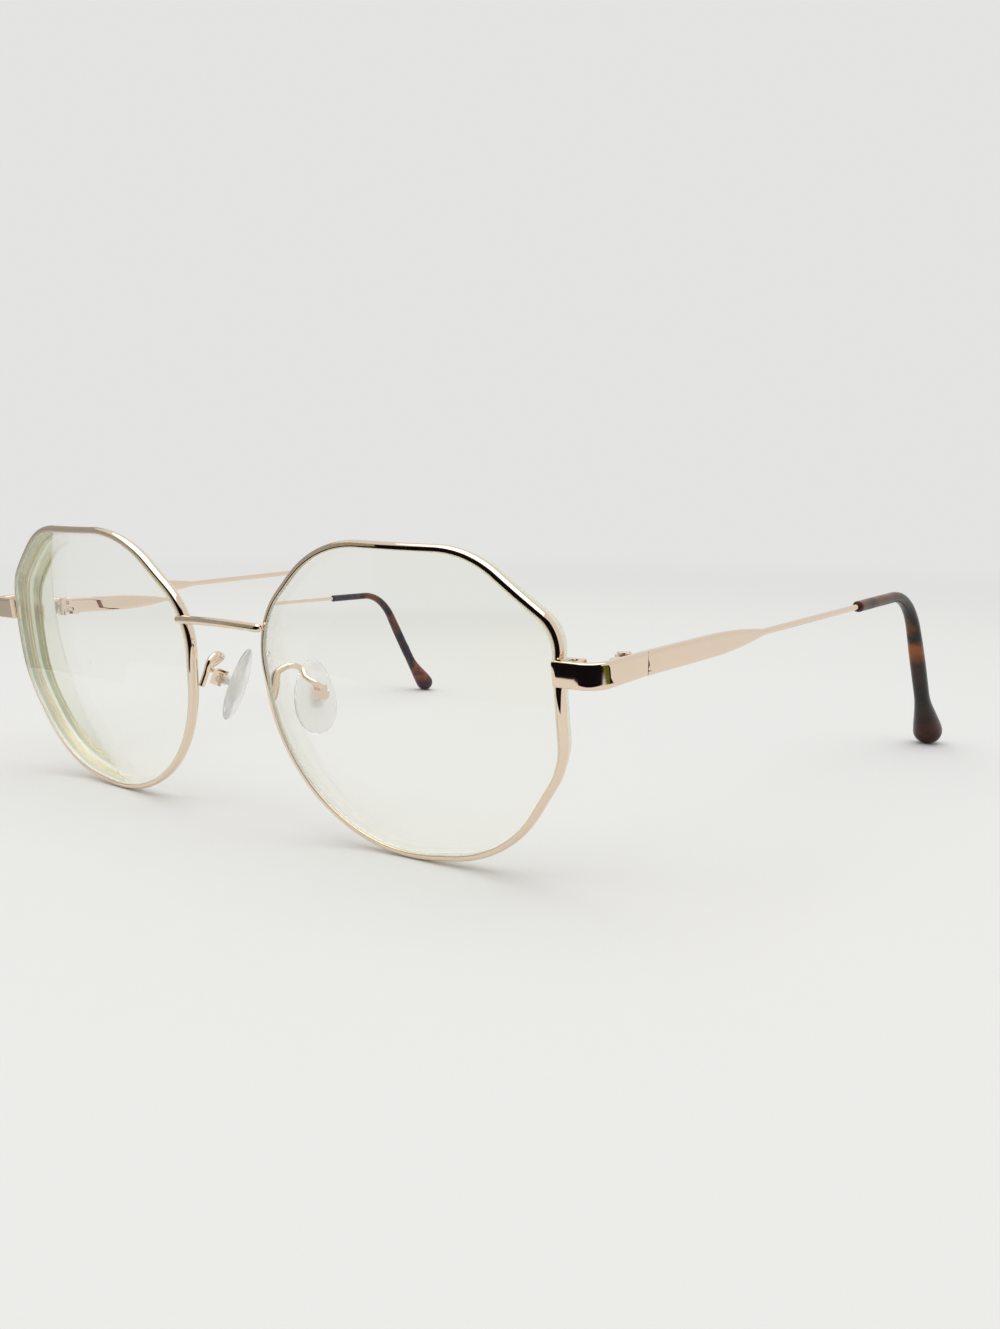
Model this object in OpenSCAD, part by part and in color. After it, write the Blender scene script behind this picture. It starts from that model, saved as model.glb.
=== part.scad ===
// Metal eyeglasses with octagonal full rims, standing on the rims and on the two temple tips.
// The front faces -Y, the temples run to +Y, and +X is the wearer's left.

/* [Lenses] */
// Width of one rim, measured to the middle of its wire
lens_w = 53.2; // [48:0.2:58]
// Height of one rim, measured to the middle of its wire
lens_h = 46.8; // [42:0.2:50]
// Gap between the two rims at the nose, middle to middle of the wire
bridge_gap = 17.8; // [16:0.1:22]
// Radius of the sphere that both rims and lens fronts follow
base_radius = 96.7; // [85:0.1:180]
// Radius of the lens's front face
front_radius = 150; // [120:1:250]
// Radius of the lens's rear face, which is hollow
rear_radius = 86; // [78:0.5:110]
// Thickness of the lens at its thinnest point
lens_t = 1.2; // [1:0.1:2]
// Distance of the lens's thinnest point from its middle, towards the nose
decentre = 5; // [0:0.1:6]
// Narrowest land between the lens's front face and its ridge
front_land = 0.1; // [0.05:0.01:0.4]

/* [Rims] */
// Thickness of the rim wire across the lens plane
rim_w = 0.95; // [0.9:0.05:1.4]
// Depth of the rim wire from front to back
rim_d = 1.55; // [1.5:0.05:2.2]
// Width of the groove that holds the lens
groove_w = 1.04; // [0.9:0.02:1.2]
// Depth of the groove that holds the lens
groove_d = 0.42; // [0.3:0.02:0.5]
// Forward lean of the rims
tilt = 8.8; // [4:0.1:12]
// Angle by which each rim turns back towards the temple
wrap = 3.3; // [0:0.1:6]

/* [Closing blocks] */
// Height of the rim's joint above the middle of the lens
lock_h = 6.9; // [5:0.1:8]
// Gap between the two ends of the rim
lock_gap = 0.3; // [0.2:0.05:0.5]
// Width of a closing block
block_w = 2.7; // [2.4:0.1:3.2]
// Depth of a closing block
block_d = 2.2; // [2.2:0.1:3]
// Height of each half of a closing block
block_h = 1.5; // [1.4:0.1:2]
// Diameter of the closing screw
lock_screw_d = 1.2; // [1:0.1:1.4]

/* [Bridge] */
// Diameter of the bridge wire
bridge_d = 1.35; // [1:0.05:2]
// Height of the bridge ends above the middle of the lens
bridge_h = 9.4; // [7:0.1:12]
// Rise of the bridge at its middle
bridge_rise = 0.3; // [0:0.1:2]
// How far the middle of the bridge stands ahead of its ends
bridge_bow = 0.6; // [0:0.1:3]

/* [End pieces] */
// Thickness of the end piece strap
strap_t = 1.1; // [0.9:0.05:1.4]
// Height of the strap where it meets the rim
strap_front_h = 3.65; // [3.2:0.05:4.2]
// Height of the strap at the hinge
strap_rear_h = 3.45; // [3.2:0.05:4]
// Distance from the rim's wire out to the middle of the strap's side
strap_out = 6.6; // [6.4:0.1:8]
// Radius of the strap's corner, to the middle of its thickness
strap_bend = 2.6; // [2:0.1:2.8]
// Distance from the rim's front face to the joint with the temple
strap_run = 11.5; // [10.5:0.1:14]
// Rise of the strap from the rim to the joint with the temple
strap_rise = 0.6; // [0:0.1:1.2]

/* [Hinges] */
// Radius of the hinge knuckles
knuckle_r = 1.3; // [1.2:0.05:1.5]
// Height of the three knuckles together
hinge_h = 3.4; // [3:0.1:4]
// Distance from the hinge pin forward of the joint between strap and temple
hinge_set = 2.2; // [2:0.1:2.6]
// Diameter of the hinge screw
hinge_screw_d = 1.2; // [1:0.1:1.4]
// Thickness of the hinge leaves
leaf_t = 0.9; // [0.7:0.05:1]
// Length of each hinge leaf beyond its knuckles
leaf_len = 4.2; // [3:0.1:5]

/* [Temples] */
// Height of the temple blade
blade_h = 3.45; // [3:0.05:4.5]
// Thickness of the temple blade
blade_t = 1.0; // [0.8:0.05:1.3]
// Length of the blade's even part
blade_even = 17; // [10:0.5:30]
// Length over which the blade narrows to the wire
blade_taper = 19; // [10:0.5:30]
// Diameter of the temple's core wire
core_d = 1.05; // [0.9:0.05:1.4]
// Length of the temple from its joint to the start of the ear bend
arm_len = 93.6; // [84:0.2:100]
// Upward slope of the temple
arm_slope = 1.7; // [0:0.1:4]
// Outward splay of the temple
arm_splay = 0.3; // [0:0.1:3]

/* [Temple tips] */
// Length of the tip sleeve ahead of the ear bend
sleeve_len = 17.8; // [10:0.2:24]
// Radius of the ear bend
ear_r = 17; // [10:0.5:24]
// Downward angle of the temple behind the ear bend
ear_angle = 56; // [38:0.5:60]
// Inward curve of the temple behind the ear bend
toe_in = 2.1; // [0:0.1:6]
// Thickness of the sleeve at its mouth
sleeve_d = 2.1; // [1.9:0.05:2.8]
// Thickness of the tip half way down
tip_mid_d = 3.1; // [2.4:0.1:3.6]
// Thickness of the tip's swollen end
tip_end_d = 6.2; // [4:0.1:7]
// Length of the core wire behind the ear bend
core_tail = 20; // [14:0.5:22]

/* [Nose pads] */
// Height of a nose pad
pad_h = 13; // [11:0.1:15]
// Width of a nose pad
pad_w = 7.2; // [6:0.1:8.5]
// Thickness of a nose pad
pad_t = 2.0; // [1.8:0.1:2.4]
// How far the middle of a pad lies outside the narrowest gap between the rims
pad_out = -0.1; // [-0.4:0.1:1]
// Distance from the middle of the lens back to the middle of a pad
pad_y = 11.4; // [10:0.1:12.5]
// Drop of the pad's middle below the middle of the lens
pad_drop = 2.3; // [0:0.1:3]
// Angle that opens the pads towards the face
pad_splay = 28; // [15:1:35]
// Angle that opens the pads towards their lower ends
pad_flare = 19; // [5:1:24]
// Diameter of the pad arm's wire
pad_wire_d = 1.0; // [0.8:0.05:1.2]
// Diameter of the pad screw
pad_screw_d = 0.9; // [0.8:0.05:1]

/* [Fits] */
// Gap left between pieces that are brazed or seated together
seat = 0.05; // [0.02:0.01:0.08]
// Radial clearance of a screw or core in its bore
bore_fit = 0.04; // [0.02:0.01:0.08]
// Gap between pieces that turn past each other
turn_fit = 0.08; // [0.06:0.01:0.12]
// Gap between the strap and the temple when the temple is open
stop_gap = 0.15; // [0.12:0.01:0.25]

/* [Hidden] */
$fn = 48;

gold = [0.85, 0.70, 0.58];
steel = [0.75, 0.75, 0.76];
tortoise = [0.25, 0.10, 0.05];
clear = [0.85, 0.93, 0.85, 0.4];
milky = [0.90, 0.93, 0.88, 0.6];

// Corners of the octagon seen from the front, clockwise, with the nose on the left:
// across, up and the radius that rounds the corner.
octagon = [
    [26.6, -6.3, 12.4], [16.5, -21.4, 20.5], [-7.7, -24.7, 26.5], [-25.0, -11.5, 24.8],
    [-27.3, 10.3, 14.0], [-12.6, 23.6, 20.3], [13.9, 23.0, 15.0], [26.6, 12.6, 6.8]
];
arc_steps = 6;
side_steps = 2;

// Vectors and points
function unit(v) = v / norm(v);
function mean(pts) = [for (i = [0:2]) sum([for (p = pts) p[i]]) / len(pts)];
function sum(v, i = 0) = i < len(v) ? v[i] + sum(v, i + 1) : 0;
function ease(t) = let (c = min(max(t, 0), 1)) c * c * (3 - 2 * c);
function mix(a, b, t) = a + (b - a) * t;
function turn_z(p, a) = [p.x * cos(a) - p.y * sin(a), p.x * sin(a) + p.y * cos(a), p.z];
function turn_x(p, a) = [p.x, p.y * cos(a) - p.z * sin(a), p.y * sin(a) + p.z * cos(a)];

// Rounded rectangle of twelve points with half sizes a and b and corner radius r
function rounded(a, b, r) = [
    for (q = [0:3], k = [0:2])
        let (turn = 90 * q + 45 * k, sx = q == 0 || q == 3 ? 1 : -1, sy = q < 2 ? 1 : -1)
        [sx * (a - r) + r * cos(turn), sy * (b - r) + r * sin(turn)]
];
function wire(r) = rounded(r, r, 0.8 * r);

// Places a flat section across the direction t at o, its first axis level, turned by roll about t
function ring_at(o, t, section, roll = 0, up = [0, 0, 1]) =
    let (e1 = unit(cross(up, t)), e2 = cross(unit(t), e1),
         f1 = e1 * cos(roll) + e2 * sin(roll), f2 = e2 * cos(roll) - e1 * sin(roll))
    [for (p = section) o + p[0] * f1 + p[1] * f2];

// Closed skin over a list of rings that all have the same number of points
module loft(rings) {
    n = len(rings[0]);
    last = len(rings) - 1;
    polyhedron(
        points = concat([for (ring = rings, p = ring) p], [mean(rings[0]), mean(rings[last])]),
        faces = concat(
            [for (i = [0:last - 1], j = [0:n - 1]) let (a = i * n + j, b = i * n + (j + 1) % n) [a, b + n, b]],
            [for (i = [0:last - 1], j = [0:n - 1]) let (a = i * n + j, b = i * n + (j + 1) % n) [a, a + n, b + n]],
            [for (j = [0:n - 1]) [(last + 1) * n, j, (j + 1) % n]],
            [for (j = [0:n - 1]) [(last + 1) * n + 1, last * n + (j + 1) % n, last * n + j]]
        )
    );
}

// Octagon outline: rounded corners and straight sides as [across, up, normal across, normal up]
function heading(i) = let (a = octagon[i], b = octagon[(i + 1) % 8]) atan2(b[1] - a[1], b[0] - a[0]);
function corner_arc(i) =
    let (c = octagon[i], h0 = heading((i + 7) % 8), swing = ((heading(i) - h0 + 540) % 360) - 180,
         t = c[2] * tan(-swing / 2), start = [c[0] - t * cos(h0), c[1] - t * sin(h0)],
         hub = [start[0] + c[2] * sin(h0), start[1] - c[2] * cos(h0)])
    [for (k = [0:arc_steps]) let (a = h0 + swing * k / arc_steps + 90)
        [hub[0] + c[2] * cos(a), hub[1] + c[2] * sin(a), cos(a), sin(a)]];
raw_arcs = [for (i = [0:7]) corner_arc(i)];
raw = [for (arc = raw_arcs, p = arc) p];
raw_right = max([for (p = raw) p[0]]);
raw_left = min([for (p = raw) p[0]]);
raw_top = max([for (p = raw) p[1]]);
raw_low = min([for (p = raw) p[1]]);
scale_u = lens_w / (raw_right - raw_left);
scale_v = lens_h / (raw_top - raw_low);
function fitted(p) =
    let (n = [p[2] / scale_u, p[3] / scale_v], l = norm(n))
    [(p[0] - (raw_right + raw_left) / 2) * scale_u, (p[1] - (raw_top + raw_low) / 2) * scale_v,
     n[0] / l, n[1] / l];
function between(a, b) =
    [for (k = [1:side_steps]) [for (q = [0:3]) mix(a[q], b[q], k / (side_steps + 1))]];
arcs = [for (arc = raw_arcs) [for (p = arc) fitted(p)]];
side_u = lens_w / 2;

// The wire's path starts just below the closing block and ends just above it
outline = concat(
    [[side_u, lock_h - lock_gap / 2, 1, 0]],
    between([side_u, lock_h - lock_gap / 2, 1, 0], arcs[0][0]),
    [for (i = [0:7], p = concat(arcs[i], i < 7 ? between(arcs[i][arc_steps], arcs[i + 1][0]) : [])) p],
    [[side_u, lock_h + lock_gap / 2, 1, 0]]
);

// Sphere that the rims are pressed to, and the lens frame's place in the front
function sag(r, u, v) = r - sqrt(r * r - u * u - v * v);
function wire_sag(u, v) = sag(base_radius, u, v);
lens_cx = (lens_w + bridge_gap) / 2;
function in_front(p) = turn_x(turn_z(p, wrap), tilt) + [lens_cx, 0, 0];
module in_front() {
    translate([lens_cx, 0, 0]) rotate([tilt, 0, 0]) rotate([0, 0, wrap]) children();
}

// Rim section: barrel outside, V groove inside, as [outward, forward]
barrel_turns = [-75, -50, -22, 22, 50, 75];
rim_section = concat(
    [for (a = barrel_turns)
        [rim_w / 2 * cos(a) / cos(barrel_turns[3]), rim_d / 2 * sin(a) / sin(barrel_turns[5])]],
    [[-rim_w / 2, rim_d / 2], [-rim_w / 2, groove_w / 2], [groove_d - rim_w / 2, 0],
     [-rim_w / 2, -groove_w / 2], [-rim_w / 2, -rim_d / 2]]
);
function rim_ring(p) = [for (s = rim_section)
    in_front([p[0] + s[0] * p[2], wire_sag(p[0], p[1]) - s[1], p[1] + s[0] * p[3]])];
rim_rings = [for (p = outline) rim_ring(p)];
rim_floor = min([for (ring = rim_rings, p = ring) p.z]);
rim_face = min([for (ring = rim_rings, p = ring) p.y]);

// Place on the nose side of the wire at a height in the lens frame
nose_side = [for (i = [1:len(outline) - 1])
    if (outline[i][0] < 0) [outline[i - 1], outline[i]]];
function nose_point(v) =
    let (hit = [for (s = nose_side) if (s[0][1] <= v && s[1][1] > v) s][0],
         f = (v - hit[0][1]) / (hit[1][1] - hit[0][1]), u = mix(hit[0][0], hit[1][0], f))
    in_front([u, wire_sag(u, v), v]);

// Where the strap lies against the rim
lock_sag = wire_sag(side_u, lock_h);
lock_point = in_front([side_u, lock_sag, lock_h]);
lock_front = in_front([side_u, wire_sag(side_u, lock_h - strap_front_h / 2) - rim_d / 2 - seat, lock_h]);
strap_x = lock_point.x + strap_out;
strap_y = lock_front.y - strap_t / 2;
parting_y = lock_front.y + strap_run;
parting_z = lock_point.z + strap_rise;
strap_r = 0.3 * strap_t;
strap_overlap = 0.3;

// Middle line of the strap: front run, corner and side, as [place, heading, share of its length]
strap_path = concat(
    [for (k = [0:2]) [[mix(lens_cx + side_u - strap_overlap, strap_x - strap_bend, k / 3), strap_y], 0]],
    [for (k = [0:6]) let (a = 15 * k)
        [[strap_x - strap_bend + strap_bend * sin(a), strap_y + strap_bend * (1 - cos(a))], a]],
    [for (k = [1:3]) [[strap_x, mix(strap_y + strap_bend, parting_y, k / 3)], 90]]
);
function strap_share(y) = (y - strap_y) / (parting_y - strap_y);
strap_rings = [for (s = strap_path)
    let (f = strap_share(s[0][1]), h = mix(strap_front_h, strap_rear_h, ease(f)))
    ring_at([s[0][0], s[0][1], mix(lock_point.z, parting_z, f)], [cos(s[1]), sin(s[1]), 0],
        rounded(strap_t / 2, h / 2, strap_r), tilt * cos(s[1]))];

// Hinge axis and its heights
hinge_drop = 0.3;
hinge_x = strap_x - strap_t / 2 - turn_fit - knuckle_r;
hinge_y = parting_y - hinge_set;
hinge_z = mix(lock_point.z, parting_z, strap_share(hinge_y)) - hinge_drop;
knuckle_h = (hinge_h - 2 * turn_fit) / 3;
hinge_floor = hinge_z - hinge_h / 2;

// Middle line of the temple in its own upright plane: distance back and height at arc length s
bend_turn = ear_angle + arm_slope;
bend_len = ear_r * bend_turn * PI / 180;
function arm_run(s) =
    s <= arm_len ? [s * cos(arm_slope), s * sin(arm_slope)] :
    s <= arm_len + bend_len ?
        let (a = arm_slope - (s - arm_len) / ear_r * 180 / PI)
        [arm_len * cos(arm_slope) + ear_r * (sin(arm_slope) - sin(a)),
         arm_len * sin(arm_slope) + ear_r * (cos(a) - cos(arm_slope))] :
        arm_run(arm_len + bend_len) + (s - arm_len - bend_len) * [cos(ear_angle), -sin(ear_angle)];
function arm_pitch(s) = arm_slope - bend_turn * min(max((s - arm_len) / bend_len, 0), 1);

// The tips end level with the foot of the rims, so that the frame stands on both
tip_round = tip_end_d / 2;
tip_flat = 0.95;
tip_belly = tip_flat * (tip_end_d - tip_mid_d) / 2;
tip_cap_turns = [25, 45, 62, 75, 84];
tip_low = tip_round
    * max([for (a = tip_cap_turns) tip_flat * cos(a) * cos(ear_angle) - (1 - sin(a)) * sin(ear_angle)])
    - tip_belly * cos(ear_angle);
drop_len = (parting_z + arm_run(arm_len + bend_len)[1] - rim_floor - tip_low) / sin(ear_angle);
arm_total = arm_len + bend_len + drop_len;
toe_power = 1.4;
function toe(s) = toe_in * pow(max(s - arm_len, 0) / (arm_total - arm_len), toe_power);
function arm_point(s) =
    let (r = arm_run(s))
    [strap_x + r[0] * sin(arm_splay) - toe(s), parting_y + stop_gap + r[0] * cos(arm_splay),
     parting_z + r[1]];
function arm_heading(s) = unit(arm_point(s + 0.1) - arm_point(s - 0.1));
function arm_ring(s, section) = ring_at(arm_point(s), arm_heading(s), section);

// Places along the temple where the core wire and the sleeve share their rings
sleeve_start = arm_len - sleeve_len;
core_end = arm_len + bend_len + core_tail;
sleeve_steps = concat(
    [for (k = [0:3]) mix(sleeve_start, arm_len, k / 4)],
    [for (k = [0:7]) arm_len + bend_len * k / 7],
    [for (k = [1:3]) mix(arm_len + bend_len, core_end, k / 3)]
);

// Blade half height and half thickness at arc length s
taper_power = 2.2;
function blade_share(s) = 1 - pow(min(max((s - blade_even) / blade_taper, 0), 1), taper_power);
function blade_half_h(s) = mix(core_d / 2, blade_h / 2, blade_share(s));
function blade_half_t(s) = mix(core_d / 2, blade_t / 2, ease(blade_share(s)));
function blade_section(s) =
    let (a = blade_half_t(s), b = blade_half_h(s)) rounded(a, b, mix(0.8, 0.5, blade_share(s)) * min(a, b));
blade_steps = concat(
    [0, blade_even / 2],
    [for (k = [0:9]) blade_even + blade_taper * k / 9],
    [mix(blade_even + blade_taper, sleeve_start, 0.5)]
);
temple_rings = concat(
    [for (s = blade_steps) arm_ring(s, blade_section(s))],
    [for (s = sleeve_steps) arm_ring(s, wire(core_d / 2))]
);

// Tip half thickness: even sleeve, slow growth down the drop and a rounded end that swells to the rear
grow_share = 0.55;
swell_start = 0.7;
swell_share = 0.28;
function tip_out(s) = ease((s - mix(arm_len, arm_total, swell_start)) / (swell_share * (arm_total - arm_len)));
function tip_swell(s) =
    let (down = ease((s - arm_len) / (grow_share * (arm_total - arm_len))))
    mix(mix(sleeve_d, tip_mid_d, down), tip_end_d, tip_out(s)) / 2;
function tip_cap(s) = sqrt(max(1 - pow(max(s - arm_total + tip_round, 0) / tip_round, 2), 0));
function tip_section(s) =
    let (r = tip_swell(s) * tip_cap(s))
    [for (p = rounded(r, tip_flat * r, 0.8 * r)) p + [0, tip_belly * tip_out(s)]];
tip_steps = concat(
    sleeve_steps,
    [for (k = [1:4]) mix(core_end, arm_total - tip_round, k / 4)],
    [for (a = tip_cap_turns) arm_total - tip_round + tip_round * sin(a)]
);
sleeve_count = len(sleeve_steps);
bore_extra = 0.3;
bore_rings = [for (i = [0:sleeve_count - 1])
    arm_ring(sleeve_steps[sleeve_count - 1 - i] + (i == 0 ? bore_extra : 0), wire(core_d / 2 + bore_fit))];
tip_rings = concat(bore_rings, [for (s = tip_steps) arm_ring(s, tip_section(s))]);

// Bridge: a bowed wire with rounded ends against the front of both rims
bridge_end = nose_point(bridge_h / cos(tilt));
bridge_r = bridge_d / 2;
bridge_reach = 0.4;
bridge_half = bridge_end.x + bridge_reach;
bridge_sink = 0.43;
bridge_y = bridge_end.y - (bridge_sink * rim_d + seat) / cos(tilt) - bridge_r;
cap_turns = [10, 35, 60];
bridge_stations = concat(
    [for (a = cap_turns) [-bridge_half + bridge_r * (1 - cos(a)), sin(a)]],
    [for (k = [0:12]) [mix(bridge_r - bridge_half, bridge_half - bridge_r, k / 12), 1]],
    [for (i = [1:3]) [bridge_half - bridge_r * (1 - cos(cap_turns[3 - i])), sin(cap_turns[3 - i])]]
);
function bridge_point(x) =
    let (f = 1 - pow(x / bridge_half, 2)) [x, bridge_y - bridge_bow * f, bridge_end.z + bridge_rise * f];
bridge_rings = [for (s = bridge_stations)
    ring_at(bridge_point(s[0]), bridge_point(s[0] + 0.05) - bridge_point(s[0] - 0.05), wire(bridge_r * s[1]))];

// Nose pad frame: X through the thickness towards the lens, Y across the width, Z up
pad_centre = [bridge_gap / 2 + pad_out, pad_y, -pad_drop];
function in_pad(p) = turn_z([p.x * cos(pad_flare) - p.z * sin(pad_flare), p.y,
    p.x * sin(pad_flare) + p.z * cos(pad_flare)], -pad_splay) + pad_centre;
module in_pad() {
    translate(pad_centre) rotate([0, 0, -pad_splay]) rotate([0, -pad_flare, 0]) children();
}
tab_reach = 2.3;
pad_pivot = pad_t / 2 + tab_reach;
box_wall = 0.45;
box_front = 0.7;
box_h = 2.4;
tab_w = 1.3;
tab_wall = 0.25;
tab_r = pad_screw_d / 2 + bore_fit + tab_wall;
box_w = tab_w + 2 * box_wall + 2 * turn_fit;
box_rear = tab_r + turn_fit + box_wall;

// Pad arm: a bent wire from the back of the rim over a loop down to the box
arm_foot_h = -2;
foot_rim = nose_point(arm_foot_h);
foot_shift = 0.2;
foot = foot_rim + [(rim_w - pad_wire_d) / 2 - foot_shift, (rim_d / 2 + seat) / cos(tilt) + pad_wire_d / 2, 0];
box_back = in_pad([pad_pivot + box_rear + seat + pad_wire_d / 2, 0, (box_h - pad_wire_d) / 2]);
pad_arm_points = [
    foot, foot + [-0.5, 0.6, 2.2], foot + [-0.9, 1.1, 4.2], foot + [-0.5, 2.9, 5.1],
    foot + [0.1, 4.6, 4.4], box_back + [-2.2, -1.3, 1.6], box_back + [-0.3, -1.1, 0.8], box_back
];
arm_spans = len(pad_arm_points) - 2;
span_steps = 4;
function curve_point(pts, i, t) =
    let (n = len(pts), p0 = pts[max(i - 1, 0)], p1 = pts[i], p2 = pts[i + 1], p3 = pts[min(i + 2, n - 1)])
    0.5 * (2 * p1 + (p2 - p0) * t + (2 * p0 - 5 * p1 + 4 * p2 - p3) * t * t
        + (3 * p1 - p0 - 3 * p2 + p3) * t * t * t);
pad_arm_path = concat(
    [for (i = [0:arm_spans], k = [0:span_steps - 1]) curve_point(pad_arm_points, i, k / span_steps)],
    [box_back]);
pad_arm_rings = [for (i = [0:len(pad_arm_path) - 1])
    ring_at(pad_arm_path[i],
        pad_arm_path[min(i + 1, len(pad_arm_path) - 1)] - pad_arm_path[max(i - 1, 0)],
        wire(pad_wire_d / 2), 0, [1, 0, 0])];

// Lens: two spherical faces, and an edge with the ridge that sits in the rim's groove.
// The front face is flatter than the rim, so it stands closest to the ridge where the land is narrowest.
lens_shares = [0.18, 0.38, 0.58, 0.8, 1];
lens_inset = rim_w / 2 + seat;
function edge(p, inset) = [p[0] - inset * p[2], p[1] - inset * p[3]];
front_apex = min([for (p = outline) let (e = edge(p, lens_inset))
    wire_sag(p[0], p[1]) - sag(front_radius, e[0], e[1])]) - groove_w / 2 - front_land;
function front_sag(u, v) = front_apex + sag(front_radius, u, v);
rear_shift = -decentre * (front_radius - rear_radius) / front_radius;
rear_hub = front_sag(decentre, 0) + lens_t + sqrt(rear_radius * rear_radius - pow(decentre + rear_shift, 2));
function rear_sag(u, v) = rear_hub - sqrt(rear_radius * rear_radius - pow(u - rear_shift, 2) - v * v);
function lens_ring(share, rear) = [for (p = outline)
    let (e = edge(p, lens_inset) * share)
    in_front([e[0], rear ? rear_sag(e[0], e[1]) : front_sag(e[0], e[1]), e[1]])];
function ridge_ring(inset, back) = [for (p = outline)
    let (e = edge(p, inset)) in_front([e[0], wire_sag(p[0], p[1]) + back, e[1]])];
lens_face = min([for (q = lens_shares, p = lens_ring(q, false)) p.y]);

// The whole frame stands on the floor with its box centred on the origin
back_face = max([for (ring = tip_rings, p = ring) p.y]);
front_face = min(rim_face, min([for (ring = bridge_rings, p = ring) p.y]), lens_face);
module standing() {
    translate([0, -(front_face + back_face) / 2, -rim_floor]) children();
}
module side(sign) {
    standing() if (sign > 0) children(); else mirror([1, 0, 0]) children();
}

module rim() { loft(rim_rings); }

module lens() {
    loft(concat(
        [for (q = lens_shares) lens_ring(q, false)],
        [ridge_ring(lens_inset, -groove_w / 2), ridge_ring(lens_inset - groove_d, 0),
         ridge_ring(lens_inset, groove_w / 2)],
        [for (i = [1:len(lens_shares)]) lens_ring(lens_shares[len(lens_shares) - i], true)]
    ));
}

// Closing block halves, one above and one below the joint in the rim
block_x = side_u + rim_w / 2 + seat;
block_set = 0.1;
block_y = lock_sag - rim_d / 2 + block_set;
lock_axis = [block_x + block_w / 2, block_y + block_d / 2];
lock_head_h = 0.5;
lock_head_r = 0.85 * lock_screw_d;
lock_screw_short = 0.2;
module block_half(up) {
    in_front() translate([0, 0, lock_h]) mirror([0, 0, up ? 0 : 1]) difference() {
        translate([block_x, block_y, lock_gap / 2]) cube([block_w, block_d, block_h]);
        translate([lock_axis.x, lock_axis.y, 0])
            cylinder(r = lock_screw_d / 2 + bore_fit, h = block_h + 1);
        if (!up) translate([lock_axis.x, lock_axis.y, lock_gap / 2 + block_h - lock_head_h / 2])
            cylinder(r = lock_head_r + bore_fit, h = 1);
    }
}
module closing_screw() {
    in_front() translate([lock_axis.x, lock_axis.y, lock_h - lock_gap / 2 - block_h]) {
        cylinder(d = lock_screw_d, h = 2 * block_h + lock_gap - lock_screw_short);
        translate([0, 0, -lock_head_h / 2]) cylinder(r = lock_head_r, h = lock_head_h - seat);
    }
}

// Front leaf: a plate brazed inside the strap, with the upper and lower knuckles
strap_inside = strap_x - strap_t / 2 - seat;
knuckle_back = hinge_y - knuckle_r - turn_fit;
root = 0.5;
module knuckle(level) {
    translate([hinge_x, hinge_y, hinge_floor + level * (knuckle_h + turn_fit)])
        cylinder(r = knuckle_r, h = knuckle_h);
}
module hinge_bore(r) {
    translate([hinge_x, hinge_y, hinge_floor - 1]) cylinder(r = r, h = hinge_h + 2);
}
module leaf_plate(h) {
    translate([0, h / 2, 0]) cube([leaf_t, leaf_len - h / 2, h]);
    translate([0, h / 2, h / 2]) rotate([0, 90, 0]) cylinder(d = h, h = leaf_t);
}
module front_leaf() {
    difference() {
        union() {
            translate([strap_inside - leaf_t, knuckle_back - leaf_len, hinge_floor]) leaf_plate(hinge_h);
            for (level = [0, 2]) {
                knuckle(level);
                translate([hinge_x, knuckle_back - root, hinge_floor + level * (knuckle_h + turn_fit)])
                    cube([strap_inside - hinge_x, knuckle_r + root, knuckle_h]);
            }
        }
        hinge_bore(hinge_screw_d / 2 + bore_fit);
    }
}

// Temple leaf: the middle knuckle on an arm from a plate brazed inside the blade
leaf_start = 0.4;
leaf_trim = 0.2;
module temple_leaf() {
    difference() {
        union() {
            knuckle(1);
            translate([hinge_x, hinge_y, hinge_floor + knuckle_h + turn_fit])
                cube([strap_inside - turn_fit - hinge_x, hinge_set + stop_gap + leaf_start + root, knuckle_h]);
            translate([strap_x, parting_y + stop_gap, hinge_floor + leaf_trim]) rotate([0, 0, -arm_splay])
                translate([-blade_t / 2 - seat - leaf_t, leaf_start + leaf_len, 0])
                    mirror([0, 1, 0]) leaf_plate(hinge_h - 2 * leaf_trim);
        }
        hinge_bore(hinge_screw_d / 2 + bore_fit);
    }
}
screw_head_h = 0.3;
screw_slot = 0.24;
screw_short = 0.15;
screw_root = 0.1; // how far a shank reaches into its head
module hinge_screw() {
    translate([hinge_x, hinge_y, hinge_floor + screw_short])
        cylinder(d = hinge_screw_d, h = hinge_h - screw_short + seat + screw_root);
    translate([hinge_x, hinge_y, hinge_floor + hinge_h + seat]) difference() {
        cylinder(r = 0.8 * hinge_screw_d, h = screw_head_h);
        translate([-hinge_screw_d, -screw_slot / 2, screw_head_h / 2])
            cube([2 * hinge_screw_d, screw_slot, screw_head_h]);
    }
}

// Pad box: a small stirrup with two cheeks, and the screw across it
module pad_box() {
    in_pad() difference() {
        translate([pad_pivot - box_front, -box_w / 2, -box_h / 2]) cube([box_front + box_rear, box_w, box_h]);
        translate([pad_pivot - box_front - 1, -tab_w / 2 - turn_fit, -box_h / 2 - 1])
            cube([box_front + 1 + tab_r + turn_fit, tab_w + 2 * turn_fit, box_h + 2]);
        across_pad(pad_screw_d / 2 + bore_fit, box_w + 2);
    }
}
module across_pad(r, h) {
    translate([pad_pivot, h / 2, 0]) rotate([90, 0, 0]) cylinder(r = r, h = h);
}
pad_screw_head_h = 0.35;
module pad_screw() {
    in_pad() {
        translate([0, screw_root / 2, 0]) across_pad(pad_screw_d / 2, box_w + 2 * seat + screw_root);
        translate([pad_pivot, box_w / 2 + seat, 0]) rotate([-90, 0, 0])
            cylinder(r = 0.75 * pad_screw_d, h = pad_screw_head_h);
    }
}

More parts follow.
